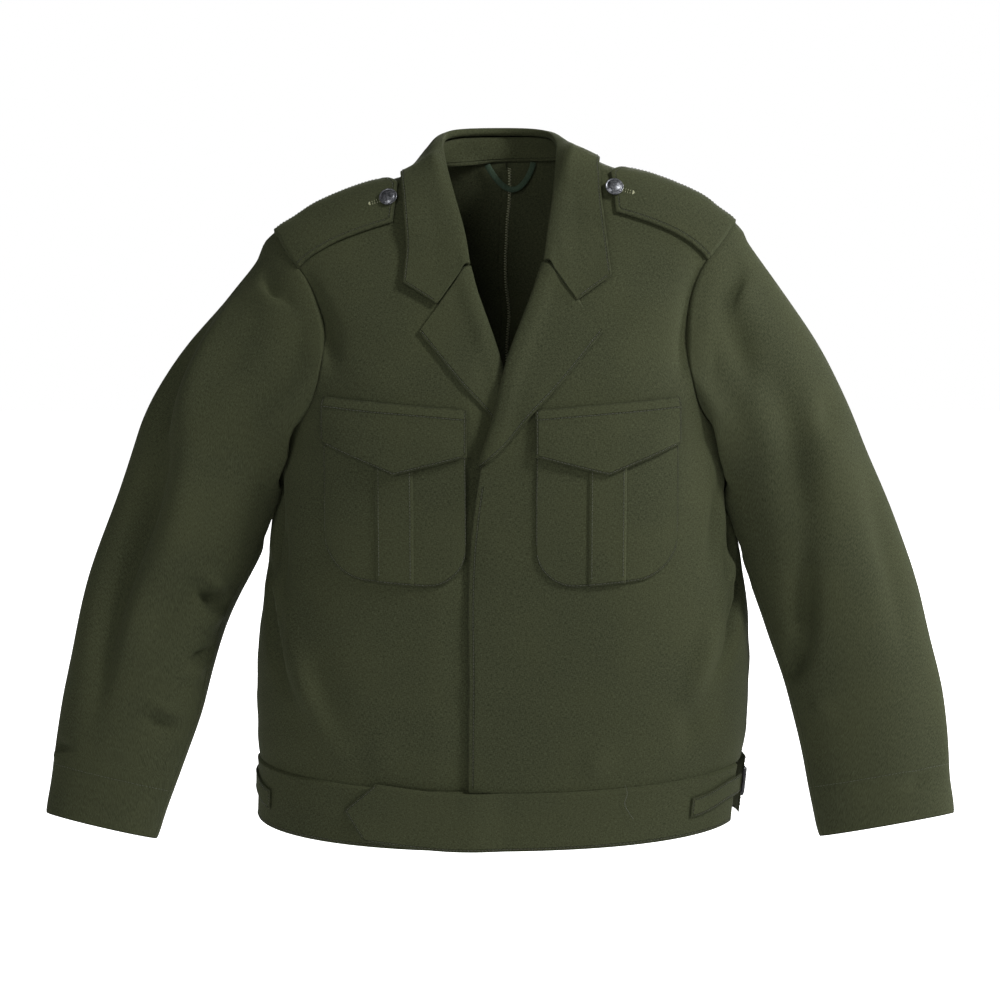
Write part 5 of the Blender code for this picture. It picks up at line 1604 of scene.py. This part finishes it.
def collar_profile(share):
    """Knots of the collar's profile: the inside below the roll, the round of the roll, the middle and the
    edge."""
    seam, roll, mid, edge = collar_curves(share)
    line = unit(np.gradient(roll, axis=0))

    def across(way):
        """The part of a direction that is square to the roll line, as a unit vector."""
        return unit(way - line * (way * line).sum(axis=-1, keepdims=True))

    fall, stand = across(mid - roll), across(seam - roll)
    crest = -unit(fall + stand)
    side = unit(fall - crest * (fall * crest).sum(axis=-1, keepdims=True))
    shown = STAND_SHOWN * blend(0.8, 1.0, ease((0.5 - np.abs(share - 0.5)) / 0.12))[:, None]
    inside = roll - crest * shown - side * ROLL_HALF * 0.8
    before = roll - crest * ROLL_HALF * 0.9 - side * ROLL_HALF
    after = roll - crest * ROLL_HALF * 0.9 + side * ROLL_HALF
    return seam, np.stack([inside, before, roll, after, mid, edge], axis=1)


def build_collar():
    """The stand round the neck, and the fall that turns over it."""
    knots = np.array([0.0, 0.09, 0.16, 0.23, 0.55, 1.0])
    down = [[0.0, 0.012], np.linspace(0.035, 0.245, 10), np.linspace(0.27, 0.985, 24), [1.0]]
    down = np.concatenate(down)
    share = shares(COLLAR_LENGTH, 3.6)
    profile = collar_profile(share)[1]
    smooth = np.stack([spline(down, knots, row) for row in profile])
    kinked = np.stack([between(down, knots, row) for row in profile])
    near_end = 0.5 - np.abs(share - 0.5)
    kink = (1 - ease(near_end / 0.07))[:, None, None] * (down > 0.3)[None, :, None]
    outer = blend(smooth, kinked, kink)
    lift = blend(COLLAR_FRONT_LIFT, COLLAR_LIFT, ease(near_end / 0.08))[:, None] + 0 * down
    pushed = clear_of_body(outer, lift)
    outer = blend(outer, pushed, ease((down - 0.2) / 0.2)[None, :, None])
    lines = [SewLine("lru", COLLAR_STITCH, "u", 0.0, 38.0)]
    free = (down > 0.53)[None]
    sheet = shell(
        "cloth_collar_fall", outer, surface_normals(outer), FALL_CLOTH, lines=lines,
        puckers=[("u", 0.3, 7), ("d", 0.3, 5)], flat={"l": free, "r": free},
    )
    sewing = sew("collar_sewing", sheet, lines)
    dress(sheet[0], "collar_fall", "collar_fall", extras=[sewing])

    share = blend(STAND_START, STAND_STOP, shares(STAND_LENGTH, 3.6))
    seam_line = collar_curves(share)[0]
    fine_share = np.linspace(0, 1, 601)
    inside = between(share, fine_share, collar_profile(fine_share)[1][:, 0])
    top = inside + unit(seam_line - inside)
    up = shares(STAND_HEIGHT, 2.6, 1.0)
    face = blend(seam_line[:, None], top[:, None], up[None, :, None])
    along = share * STAND_LENGTH
    dimples = ripple(along, 62.0, 4)[:, None] - 0.4 * ripple(along, 31.0, 9)[:, None]
    sag = 2.3 * np.sin(np.pi * up ** 0.7)[None, :] * dimples
    face = face + surface_normals(face) * sag[..., None]
    sheet = shell(
        "cloth_collar_stand", face, surface_normals(face), lines=[SewLine("d", 3.2)], puckers=[("u", 0.5, 8)],
        tucks={"d": STAND_TUCK},
    )
    dress(sheet[0], "collar_stand", "collar_stand")


def build_pockets():
    """Patch pockets with a pressed box pleat, and their pointed flaps."""
    half = POCKET_WIDTH / 2
    corner = POCKET_CORNER * (1 - np.cos(np.radians(np.linspace(0, 90, 16))))
    pleat = PLEAT_WIDTH / 2
    steps = np.array([0.1, 0.5])
    middle = [-pleat - steps[::-1], np.linspace(-pleat, pleat, 13), pleat + steps]
    columns = np.concatenate([-half + corner, *middle, half - corner[::-1]])
    edge = np.minimum(half - np.abs(columns), POCKET_CORNER)
    foot = POCKET_FOOT + POCKET_CORNER - np.sqrt(POCKET_CORNER**2 - (POCKET_CORNER - edge) ** 2)
    raised = PLEAT_RISE * (np.abs(columns) <= pleat)
    rows = shares(150.0, 3.6)
    flap_columns = blend(-half - FLAP_OVERHANG, half + FLAP_OVERHANG, shares(POCKET_WIDTH, 3.2))
    flap_foot = blend(FLAP_POINT, FLAP_CORNER, np.abs(flap_columns) / (half + FLAP_OVERHANG))
    flap_rows = shares(55.0, 2.2)
    for side, way, centre in (("left", 1, LEFT_POCKET_CENTRE), ("right", -1, RIGHT_POCKET_CENTRE)):
        x = centre + columns[:, None] + 0 * rows
        z = blend(POCKET_TOP, foot[:, None], rows) + POCKET_SLOPE * way * columns[:, None]
        points = place(x, z)
        outer = cloth(points, LAYER_GAP + POCKET_RISE + raised[:, None] + 0 * x)
        edge_lines = [SewLine("lru", EDGE_STITCH)]
        puckers = [("u", 0.2, 5), ("l", 0.2, 5), ("r", 0.2, 5)]
        sheet = shell(
            f"cloth_pocket_{side}", outer, outward(points), lines=edge_lines, puckers=puckers, seed=3 * way
        )
        piece, grid, normal, far = sheet
        pleat_paths = []
        for sign in (-1, 1):
            k = int(np.argmin(np.abs(columns - sign * (pleat - 1.6))))
            keep = (far["d"][k] > 45) & (far["u"][k] > 2)
            pleat_paths.append((grid[k][keep], normal[k][keep]))
        sewing = sew(f"pocket_sewing_{side}", sheet, edge_lines, pleat_paths)
        dress(piece, "pocket", f"pocket_{side}", extras=[sewing])

        x = centre + flap_columns[:, None] + 0 * flap_rows
        z = blend(FLAP_TOP, flap_foot[:, None], flap_rows) + POCKET_SLOPE * way * flap_columns[:, None]
        points = place(x, z)
        down = FLAP_TOP + POCKET_SLOPE * way * flap_columns[:, None] - z
        low = blend(LAYER_GAP, LAYER_GAP + POCKET_RISE + PLEAT_RISE + 0.7, ease(down / FLAP_RUN))
        from_side = POCKET_WIDTH / 2 - np.abs(flap_columns[:, None])
        belly = FLAP_BELLY * ease((down - 12) / 18) * ease(from_side / 20)
        outer = cloth(points, low + SOLID_CLOTH + belly)
        lines = [SewLine("d", FLAP_STITCH), *edge_lines]
        sheet = shell(
            f"cloth_flap_{side}", outer, outward(points), FLAP_CLOTH, lines=lines,
            puckers=[("d", 0.55, 9), ("u", 0.25, 5)], seed=6 * way,
        )
        sewing = sew(f"flap_sewing_{side}", sheet, lines)
        dress(sheet[0], "pocket_flap", f"pocket_flap_{side}", extras=[sewing])


def strap_points(way, t, q):
    """Places of a shoulder strap on the figure: t runs from the sleeve seam to its point, q from front to
    back."""
    seam_angle, seam_z = armhole_point(blend(STRAP_SEAM_FRONT, STRAP_SEAM_BACK, q))
    start = figure(way * seam_angle, seam_z)[..., :2] * STRAP_SEAM_SHARE
    start[..., 0] *= way
    end = np.stack([blend(STRAP_NECK_FRONT[i], STRAP_NECK_BACK[i], q) for i in (0, 1)], axis=-1)
    middle = np.array(STRAP_POINT) - (np.array(STRAP_NECK_FRONT) + np.array(STRAP_NECK_BACK)) / 2
    end = end + middle * (1 - np.abs(2 * q - 1))[..., None]
    flat = blend(start, end, t[..., None])
    return plan(way * flat[..., 0], flat[..., 1])


def build_shoulder_straps():
    """Shoulder straps from the sleeve seam to a point by the collar, each with a domed button."""
    for side, way, button in (("left", 1, LEFT_BUTTON_PLAN), ("right", -1, RIGHT_BUTTON_PLAN)):
        t, q = np.meshgrid(shares(125.0, 3.0), shares(58.0, 2.6), indexing="ij")
        points = strap_points(way, t, q)
        crown = 0.8 * np.sin(np.pi * q) * ease((1 - t) / 0.3)
        outer = cloth(points, STRAP_GAP + STRAP_CLOTH + crown)
        lines = [SewLine("rdu", STRAP_STITCH)]
        sheet = shell(
            f"cloth_strap_{side}", outer, outward(points), STRAP_CLOTH, lines=lines,
            puckers=[("d", 0.25, 6), ("u", 0.25, 6), ("l", 0.5, 9)], seed=way, tucks={"l": STRAP_TUCK},
        )
        sewing = sew(f"strap_sewing_{side}", sheet, lines)
        seat = plan(np.array(way * button[0]), np.array(button[1]))
        hole = build_buttonhole(f"buttonhole_{side}", way, seat)
        dress(sheet[0], "shoulder_strap", f"shoulder_strap_{side}", extras=[sewing, hole])
        build_button(f"button_{side}", f"shoulder_button_{side}", seat)


def build_buttonhole(name, way, seat):
    """A worked buttonhole: short threads side by side round a slit that runs outwards from the button."""
    axis = outward(seat)
    run = np.array([way * 1.0, -0.45, 0.0])
    along = unit(run - axis * (axis @ run))
    side = np.cross(axis, along)
    half = HOLE_LENGTH / 2
    paths = []
    for turn in np.linspace(0, 2 * np.pi, HOLE_THREADS, endpoint=False):
        shift = np.clip(np.cos(turn) * 3.0, -1, 1) * (half - HOLE_WIDTH)
        out = along * np.cos(turn) + side * np.sin(turn)
        middle = seat + along * (shift + half + HOLE_AWAY) + axis * (STRAP_GAP + STRAP_CLOTH + 0.5)
        inner, outer = middle + out * HOLE_WIDTH * 0.35, middle + out * (HOLE_WIDTH + 1.0)
        paths.append((np.stack([inner, outer]), np.stack([axis, axis])))
    return stitches(name, paths, light_thread(), pitch=0.6, length=1.7, radius=0.20, raised=0.0)


def build_button(name, node, seat):
    """A plain domed metal button: a turned profile with a raised rim and a low ring round its crown."""
    axis = outward(seat)
    side = unit(np.cross(axis, np.array([0.0, 1.0, 0.0])))
    other = np.cross(axis, side)
    profile = np.array(BUTTON_PROFILE)
    turns = np.linspace(0, 2 * np.pi, 48, endpoint=False)
    base = seat + axis * (STRAP_GAP + 2.6 + 0.4)
    around = np.cos(turns)[:, None, None] * side + np.sin(turns)[:, None, None] * other
    grid = base + axis * profile[None, :, 1, None] + around * profile[None, :, 0, None]
    finish = finish_of("pewter button", metal_finish, "button_dark button_light", 0.34, 0.85)
    piece = add_mesh(name, grid, grid_faces(grid.shape, wrap=True), finish)
    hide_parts(node)


def band_points(angles, up, rise=0.0):
    """Points of the waistband, by angle and share of its height."""
    turn = np.sin(np.radians(angles))
    z = waist_seam(angles) - LAYER_GAP + rise
    z = z - (BAND_HEIGHT - HEM_TILT * turn + HEM_SIDE_DROP * turn**2) * (1 - up)
    return figure(angles, z)


def band_shell(name, points, lift, sides, seed):
    """One length of the waistband with its edge stitching along the named sides."""
    lines = [SewLine(sides, BAND_STITCH)]
    outer = cloth(points, lift - BAND_SINK + SOLID_BAND)
    sheet = shell(
        f"cloth_{name}", outer, outward(points), BAND_CLOTH, lines=lines,
        puckers=[("u", 0.5, 9), ("d", 0.3, 6)], seed=seed, tucks={"u": BAND_TUCK},
    )
    dress(sheet[0], name, name, extras=[sew(f"{name}_sewing", sheet, lines)])


def build_waistband():
    """Waistband in three lengths. The wearer's left one ends in a pointed tab that lies over the right."""
    up = shares(BAND_HEIGHT, 2.0)
    up[np.argmin(np.abs(up - TAB_ENDS[1][1]))] = TAB_ENDS[1][1]
    tab_x = np.interp(up, [p[1] for p in TAB_ENDS], [p[0] for p in TAB_ENDS])
    tab_angle = angle_of(place(tab_x, waist_seam(35.0) - BAND_HEIGHT * (1 - up)))
    angles = blend(tab_angle[None], LEFT_SIDE.band_front, shares(400.0, 3.2)[:, None])
    points = band_points(angles, up[None], rise=TAB_RISE * ease(-(angles + 8) / 26))
    lift = TAB_LIFT * ease(-(points[..., 0] - 6) / 38)
    band_shell("waistband_left", points, lift, "ld", 3)

    end_angle = float(angle_of(place(np.array([RIGHT_BAND_END]), np.array([-600.0])))[0])
    angles = blend(-RIGHT_SIDE.band_front, end_angle, shares(340.0, 3.2))[:, None] + 0 * up
    points = band_points(angles, up[None])
    lift = -UNDERLAP_DEPTH * ease((points[..., 0] + 62) / 36)
    band_shell("waistband_right", points, lift, "d", 8)

    first, last = LEFT_SIDE.band_back, 360 - RIGHT_SIDE.band_back
    angles = blend(first, last, shares(540.0, 3.6))[:, None] + 0 * up
    points = band_points(angles, up[None])
    near_end = np.minimum(angles - first, last - angles)
    lift = BACK_BAND_FLARE * (1 - ease(near_end / FLARE_REACH))
    band_shell("waistband_back", points, lift, "lrd", 12)


def side_strap_z(side, angle, share):
    """Height of a side strap: it climbs from its sewn end towards the side."""
    middle = blend(SIDE_STRAP_FRONT_Z, SIDE_STRAP_END_Z, ease((angle - side.strap_start) / SIDE_STRAP_CLIMB))
    return middle + SIDE_STRAP_WIDTH * (share - 0.5)


def build_side_straps():
    """At each side a strap sewn to the front band runs back to a slide buckle on a tab of the back band."""
    share = shares(SIDE_STRAP_WIDTH, 1.9, 0.8)
    lines = [SewLine("ldu", EDGE_STITCH)]
    for side in WAIST_SIDES:
        strap, tab = f"side_strap_{side.name}", f"side_tab_{side.name}"
        for name, cut, steps, first, last in (
            (strap, strap, shares(110.0, 2.4), side.strap_start, side.strap_end),
            (tab, "side_tab", shares(34.0, 2.0), side.tab_start, side.tab_end),
        ):
            angles = blend(first, last, steps)[:, None] + 0 * share
            points = figure(side.way * angles, side_strap_z(side, angles, share[None]))
            flare = 1 - ease((angles - side.band_back) / FLARE_REACH)
            flare = BACK_BAND_FLARE * flare * (cut == "side_tab")
            outer = cloth(points, SOLID_BAND - BAND_SINK + LAYER_GAP + flare + SIDE_STRAP_RISE)
            sheet = shell(
                f"cloth_{name}", outer, outward(points), SIDE_STRAP_CLOTH, lines=lines,
                puckers=[("u", 0.2, 4)], seed=side.way,
            )
            sewing = sew(f"{name}_sewing", sheet, lines, pitch=2.7, length=2.0)
            dress(sheet[0], cut, name, extras=[sewing])
        build_buckle(f"buckle_{side.name}", f"side_buckle_{side.name}", side)


def build_buckle(name, node, side):
    """A slide buckle of round wire: a rectangle with rounded corners and a middle bar."""
    middle_z = float(side_strap_z(side, np.array(side.buckle), 0.5))
    seat = figure(np.array(side.way * side.buckle), np.array(middle_z))
    out = outward(seat)
    up = unit(np.array([0.0, 0.0, 1.0]) - out * out[2])
    along = np.cross(up, out)
    centre = seat + out * BUCKLE_LIFT
    half_w, half_h = BUCKLE_WIDTH / 2 - BUCKLE_WIRE, BUCKLE_HEIGHT / 2 - BUCKLE_WIRE
    corner = BUCKLE_CORNER
    turns = np.linspace(0, 2 * np.pi, 48, endpoint=False)
    w = np.clip(np.cos(turns) * 3, -1, 1) * (half_w - corner) + corner * np.cos(turns)
    h = np.clip(np.sin(turns) * 3, -1, 1) * (half_h - corner) + corner * np.sin(turns)
    line = centre + w[:, None] * along + h[:, None] * up
    way_on = unit(np.roll(line, -1, axis=0) - np.roll(line, 1, axis=0))
    across = np.cross(way_on, out)
    sides = 12
    around = np.linspace(0, 2 * np.pi, sides, endpoint=False)
    cosines, sines = np.cos(around), np.sin(around)
    ring = (
        line[:, None]
        + (cosines[None, :, None] * across[:, None] + sines[None, :, None] * out) * BUCKLE_WIRE
    )
    a = np.arange(len(turns) * sides).reshape(len(turns), sides)
    b = np.roll(a, -1, axis=0)
    faces = np.stack([a, b, np.roll(b, -1, axis=1), np.roll(a, -1, axis=1)], axis=-1).reshape(-1, 4)
    bar = centre + np.linspace(-half_h, half_h, 9)[:, None] * up
    grid = bar[None] + (cosines[:, None, None] * along + sines[:, None, None] * out) * BUCKLE_WIRE
    points = np.concatenate([ring.reshape(-1, 3), grid.reshape(-1, 3)])
    faces = np.concatenate([faces, len(ring.reshape(-1, 3)) + grid_faces(grid.shape, wrap=True)])
    finish = finish_of("black buckle", metal_finish, "buckle_dark buckle_light", 0.42, 0.6)
    piece = add_mesh(name, points, faces, finish)
    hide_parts(node)


def build_hanger_loop():
    """A folded tape sewn into the back neck seam at both ends, hanging in a shallow loop inside the back: an
    elliptic profile carried along the loop's line."""
    t = np.linspace(0, 1, 61)
    x = blend(LOOP_RIGHT, LOOP_LEFT, t) + level(0.0)[4]
    z = BACK_NECK_Z - 2.0 - LOOP_DROP * np.sin(np.pi * t**1.2) ** 0.7
    half, _, back, _, shift = level(z)
    y = back * np.sqrt(1 - ((x - shift) / half) ** 2) - SOLID_CLOTH - LOOP_AWAY
    line = np.stack([x, y, z], axis=1)
    way = unit(np.gradient(line, axis=0))
    width = unit(np.cross(way, FORWARD))
    around = np.linspace(0, 2 * np.pi, 20, endpoint=False)
    grid = (
        line[None]
        + np.cos(around)[:, None, None] * width * LOOP_TAPE / 2
        + np.sin(around)[:, None, None] * FORWARD * LOOP_THICK
    )
    far = distances(grid)
    values = {key: far["l"] * 0 + FAR_AWAY for key in ("rim", "line_a", "line_b")}
    uv = np.stack([far["l"], far["d"]], axis=-1)
    finish = finish_of("green tape", cloth_finish, "tape_dark tape_light", 0.10, 1900.0)
    piece = add_mesh("cloth_hanger_loop", grid, grid_faces(grid.shape, wrap=True), finish, uv, values)
    dress(piece, "hanger_loop", "hanger_loop", slot="loop_tape")


def build_loose_threads():
    """A loose end of thread on the waistband."""
    t = np.linspace(0, 1, 24)
    k = np.linspace(0, 1, len(LOOSE_THREAD))
    path = spline(t, k, LOOSE_THREAD)
    points = place(path[:, 0], path[:, 1])
    points = cloth(points, LOOSE_LIFT + 0.0 * points[..., 0])
    piece = tube("thread_waistband", points, 0.2, sewing_thread())


# The stage, in metres

FLOOR_Z = -0.86
TARGET = (-0.0038, 0.0, -0.315)
CAMERA_AWAY = 2.4
CAMERA_RISE = 8.0
METRES_ACROSS = 0.95
SENSOR = 36.0
# Light of the surroundings on the jacket, and how bright the floor looks to the camera
AMBIENT = 0.13
FLOOR_GLOW = 0.97
# Name, place and side of each square light, in metres
LIGHTS = (
    ("key", (2.1, -1.15, 1.75), 0.6),
    ("side", (2.8, 0.2, 0.3), 0.8),
    ("fill", (-0.9, -2.7, 0.9), 1.2),
    ("back", (0.6, 2.8, 0.9), 1.4),
)


def aimed(name, data, place_at, way):
    """Adds a light or camera that looks along a direction."""
    made = bpy.data.objects.new(name, data)
    made.location = place_at
    made.rotation_euler = way.to_track_quat("-Z", "Y").to_euler()
    bpy.context.scene.collection.objects.link(made)
    return made


def build_stage():
    """A pale floor, soft lights and the camera in front."""
    steps = np.linspace(-6.0, 6.0, 25)
    x, y = np.meshgrid(steps, steps, indexing="ij")
    points = np.stack([x, y, np.full_like(x, FLOOR_Z)], axis=-1).reshape(-1, 3)
    mesh = bpy.data.meshes.new("floor")
    mesh.from_pydata(points.tolist(), [], grid_faces(x.shape).tolist())
    made, nodes, shader, place_at = new_finish("pale floor")
    noise = nodes.noise(place_at, 3.0, 3.0)
    colour = nodes.mix(noise, (0.86, 0.86, 0.86, 1), (0.90, 0.90, 0.90, 1))
    seen = nodes.add("ShaderNodeLightPath").outputs["Is Camera Ray"]
    nodes.fill(shader, {
        "Base Color": colour,
        "Roughness": 0.9,
        "Emission Color": (1.0, 1.0, 1.0, 1),
        "Emission Strength": nodes.math("MULTIPLY", seen, FLOOR_GLOW),
    })
    mesh.materials.append(made)
    floor = bpy.data.objects.new("floor", mesh)
    bpy.context.scene.collection.objects.link(floor)

    world = bpy.data.worlds.new("studio")
    world.use_nodes = True
    sky = Nodes(world.node_tree)
    seen = sky.add("ShaderNodeLightPath").outputs["Is Camera Ray"]
    shown = sky.math("MULTIPLY_ADD", seen, 1.0 - AMBIENT, AMBIENT)
    backdrop = world.node_tree.nodes["Background"].inputs
    sky.fill(backdrop, {"Color": (1.0, 1.0, 1.0, 1), "Strength": shown})
    bpy.context.scene.world = world
    bpy.context.scene.view_settings.view_transform = "Standard"

    target = mathutils.Vector(TARGET)
    for name, place_at, size in LIGHTS:
        light = bpy.data.lights.new(name, "AREA")
        light.size = size
        light.energy = getattr(sizes(), f"{name}_power")
        aimed(name, light, place_at, target - mathutils.Vector(place_at))
    lens = bpy.data.cameras.new("camera")
    lens.sensor_width = SENSOR
    lens.lens = SENSOR * CAMERA_AWAY / METRES_ACROSS
    lens.clip_end = 30.0
    rise = np.radians(CAMERA_RISE)
    away = mathutils.Vector((0.0, -np.cos(rise), np.sin(rise))) * CAMERA_AWAY
    bpy.context.scene.camera = aimed("camera", lens, target + away, -away)


# The steps, the panel and the run


def run_build(build, label):
    """Runs a building function and fails when it adds no object."""
    before = len(bpy.data.objects)
    build()
    if len(bpy.data.objects) <= before:
        raise RuntimeError(f"{label}: nothing was built")
    return {"FINISHED"}


class JACKET_OT_body(bpy.types.Operator):
    """Lays the cloth of the fronts and backs, with the centre back seam inside"""

    bl_idname = "jacket.body"
    bl_label = "Fronts and backs"

    def execute(self, context):
        return run_build(build_body, self.bl_label)


class JACKET_OT_sleeves(bpy.types.Operator):
    """Lays the cloth of the two-piece sleeves"""

    bl_idname = "jacket.sleeves"
    bl_label = "Sleeves"

    def execute(self, context):
        return run_build(build_sleeves, self.bl_label)


class JACKET_OT_lapels(bpy.types.Operator):
    """Turns back the lapels with their edge stitching"""

    bl_idname = "jacket.lapels"
    bl_label = "Lapels"

    def execute(self, context):
        return run_build(build_lapels, self.bl_label)


class JACKET_OT_collar(bpy.types.Operator):
    """Lays the collar's stand and fall"""

    bl_idname = "jacket.collar"
    bl_label = "Collar"

    def execute(self, context):
        return run_build(build_collar, self.bl_label)


class JACKET_OT_pockets(bpy.types.Operator):
    """Adds the patch pockets with a box pleat and pointed flaps"""

    bl_idname = "jacket.pockets"
    bl_label = "Pockets"

    def execute(self, context):
        return run_build(build_pockets, self.bl_label)


class JACKET_OT_straps(bpy.types.Operator):
    """Adds the shoulder straps with buttons and buttonholes"""

    bl_idname = "jacket.straps"
    bl_label = "Shoulder straps"

    def execute(self, context):
        return run_build(build_shoulder_straps, self.bl_label)


class JACKET_OT_waistband(bpy.types.Operator):
    """Adds the three lengths of the waistband"""

    bl_idname = "jacket.waistband"
    bl_label = "Waistband"

    def execute(self, context):
        return run_build(build_waistband, self.bl_label)


class JACKET_OT_side_straps(bpy.types.Operator):
    """Adds the side straps, their tabs and slide buckles"""

    bl_idname = "jacket.side_straps"
    bl_label = "Side straps"

    def execute(self, context):
        return run_build(build_side_straps, self.bl_label)


class JACKET_OT_loop(bpy.types.Operator):
    """Adds the tape loop inside the neck"""

    bl_idname = "jacket.loop"
    bl_label = "Hanger loop"

    def execute(self, context):
        return run_build(build_hanger_loop, self.bl_label)


class JACKET_OT_threads(bpy.types.Operator):
    """Adds the loose end of thread"""

    bl_idname = "jacket.threads"
    bl_label = "Loose threads"

    def execute(self, context):
        return run_build(build_loose_threads, self.bl_label)


class JACKET_OT_stage(bpy.types.Operator):
    """Sets out the floor, the lights and the camera"""

    bl_idname = "jacket.stage"
    bl_label = "Stage"

    def execute(self, context):
        return run_build(build_stage, self.bl_label)


STEPS = (
    JACKET_OT_body,
    JACKET_OT_sleeves,
    JACKET_OT_lapels,
    JACKET_OT_collar,
    JACKET_OT_pockets,
    JACKET_OT_straps,
    JACKET_OT_waistband,
    JACKET_OT_side_straps,
    JACKET_OT_loop,
    JACKET_OT_threads,
    JACKET_OT_stage,
)


class JACKET_PT_steps(bpy.types.Panel):
    """Shows the sizes and colours and lists the building steps."""

    bl_label = "Jacket"
    bl_idname = "JACKET_PT_steps"
    bl_space_type = "VIEW_3D"
    bl_region_type = "UI"
    bl_category = "Jacket"

    def draw(self, context):
        for group in (context.scene.jacket_sizes, context.scene.jacket_colours):
            for name in group.__annotations__:
                self.layout.prop(group, name)
        for made in STEPS:
            self.layout.operator(made.bl_idname)


CLASSES = (JacketSizes, JacketColours, *STEPS, JACKET_PT_steps)


def register():
    """Registers the classes and adds the settings to the scene."""
    for made in CLASSES:
        bpy.utils.register_class(made)
    bpy.types.Scene.jacket_sizes = bpy.props.PointerProperty(type=JacketSizes)
    bpy.types.Scene.jacket_colours = bpy.props.PointerProperty(type=JacketColours)


def unregister():
    """Takes the settings and the classes away again."""
    del bpy.types.Scene.jacket_colours
    del bpy.types.Scene.jacket_sizes
    for made in reversed(CLASSES):
        bpy.utils.unregister_class(made)


def main():
    """Builds every piece and the stage."""
    register()
    for made in STEPS:
        group, name = made.bl_idname.split(".")
        getattr(getattr(bpy.ops, group), name)()


if __name__ == "__main__":
    main()
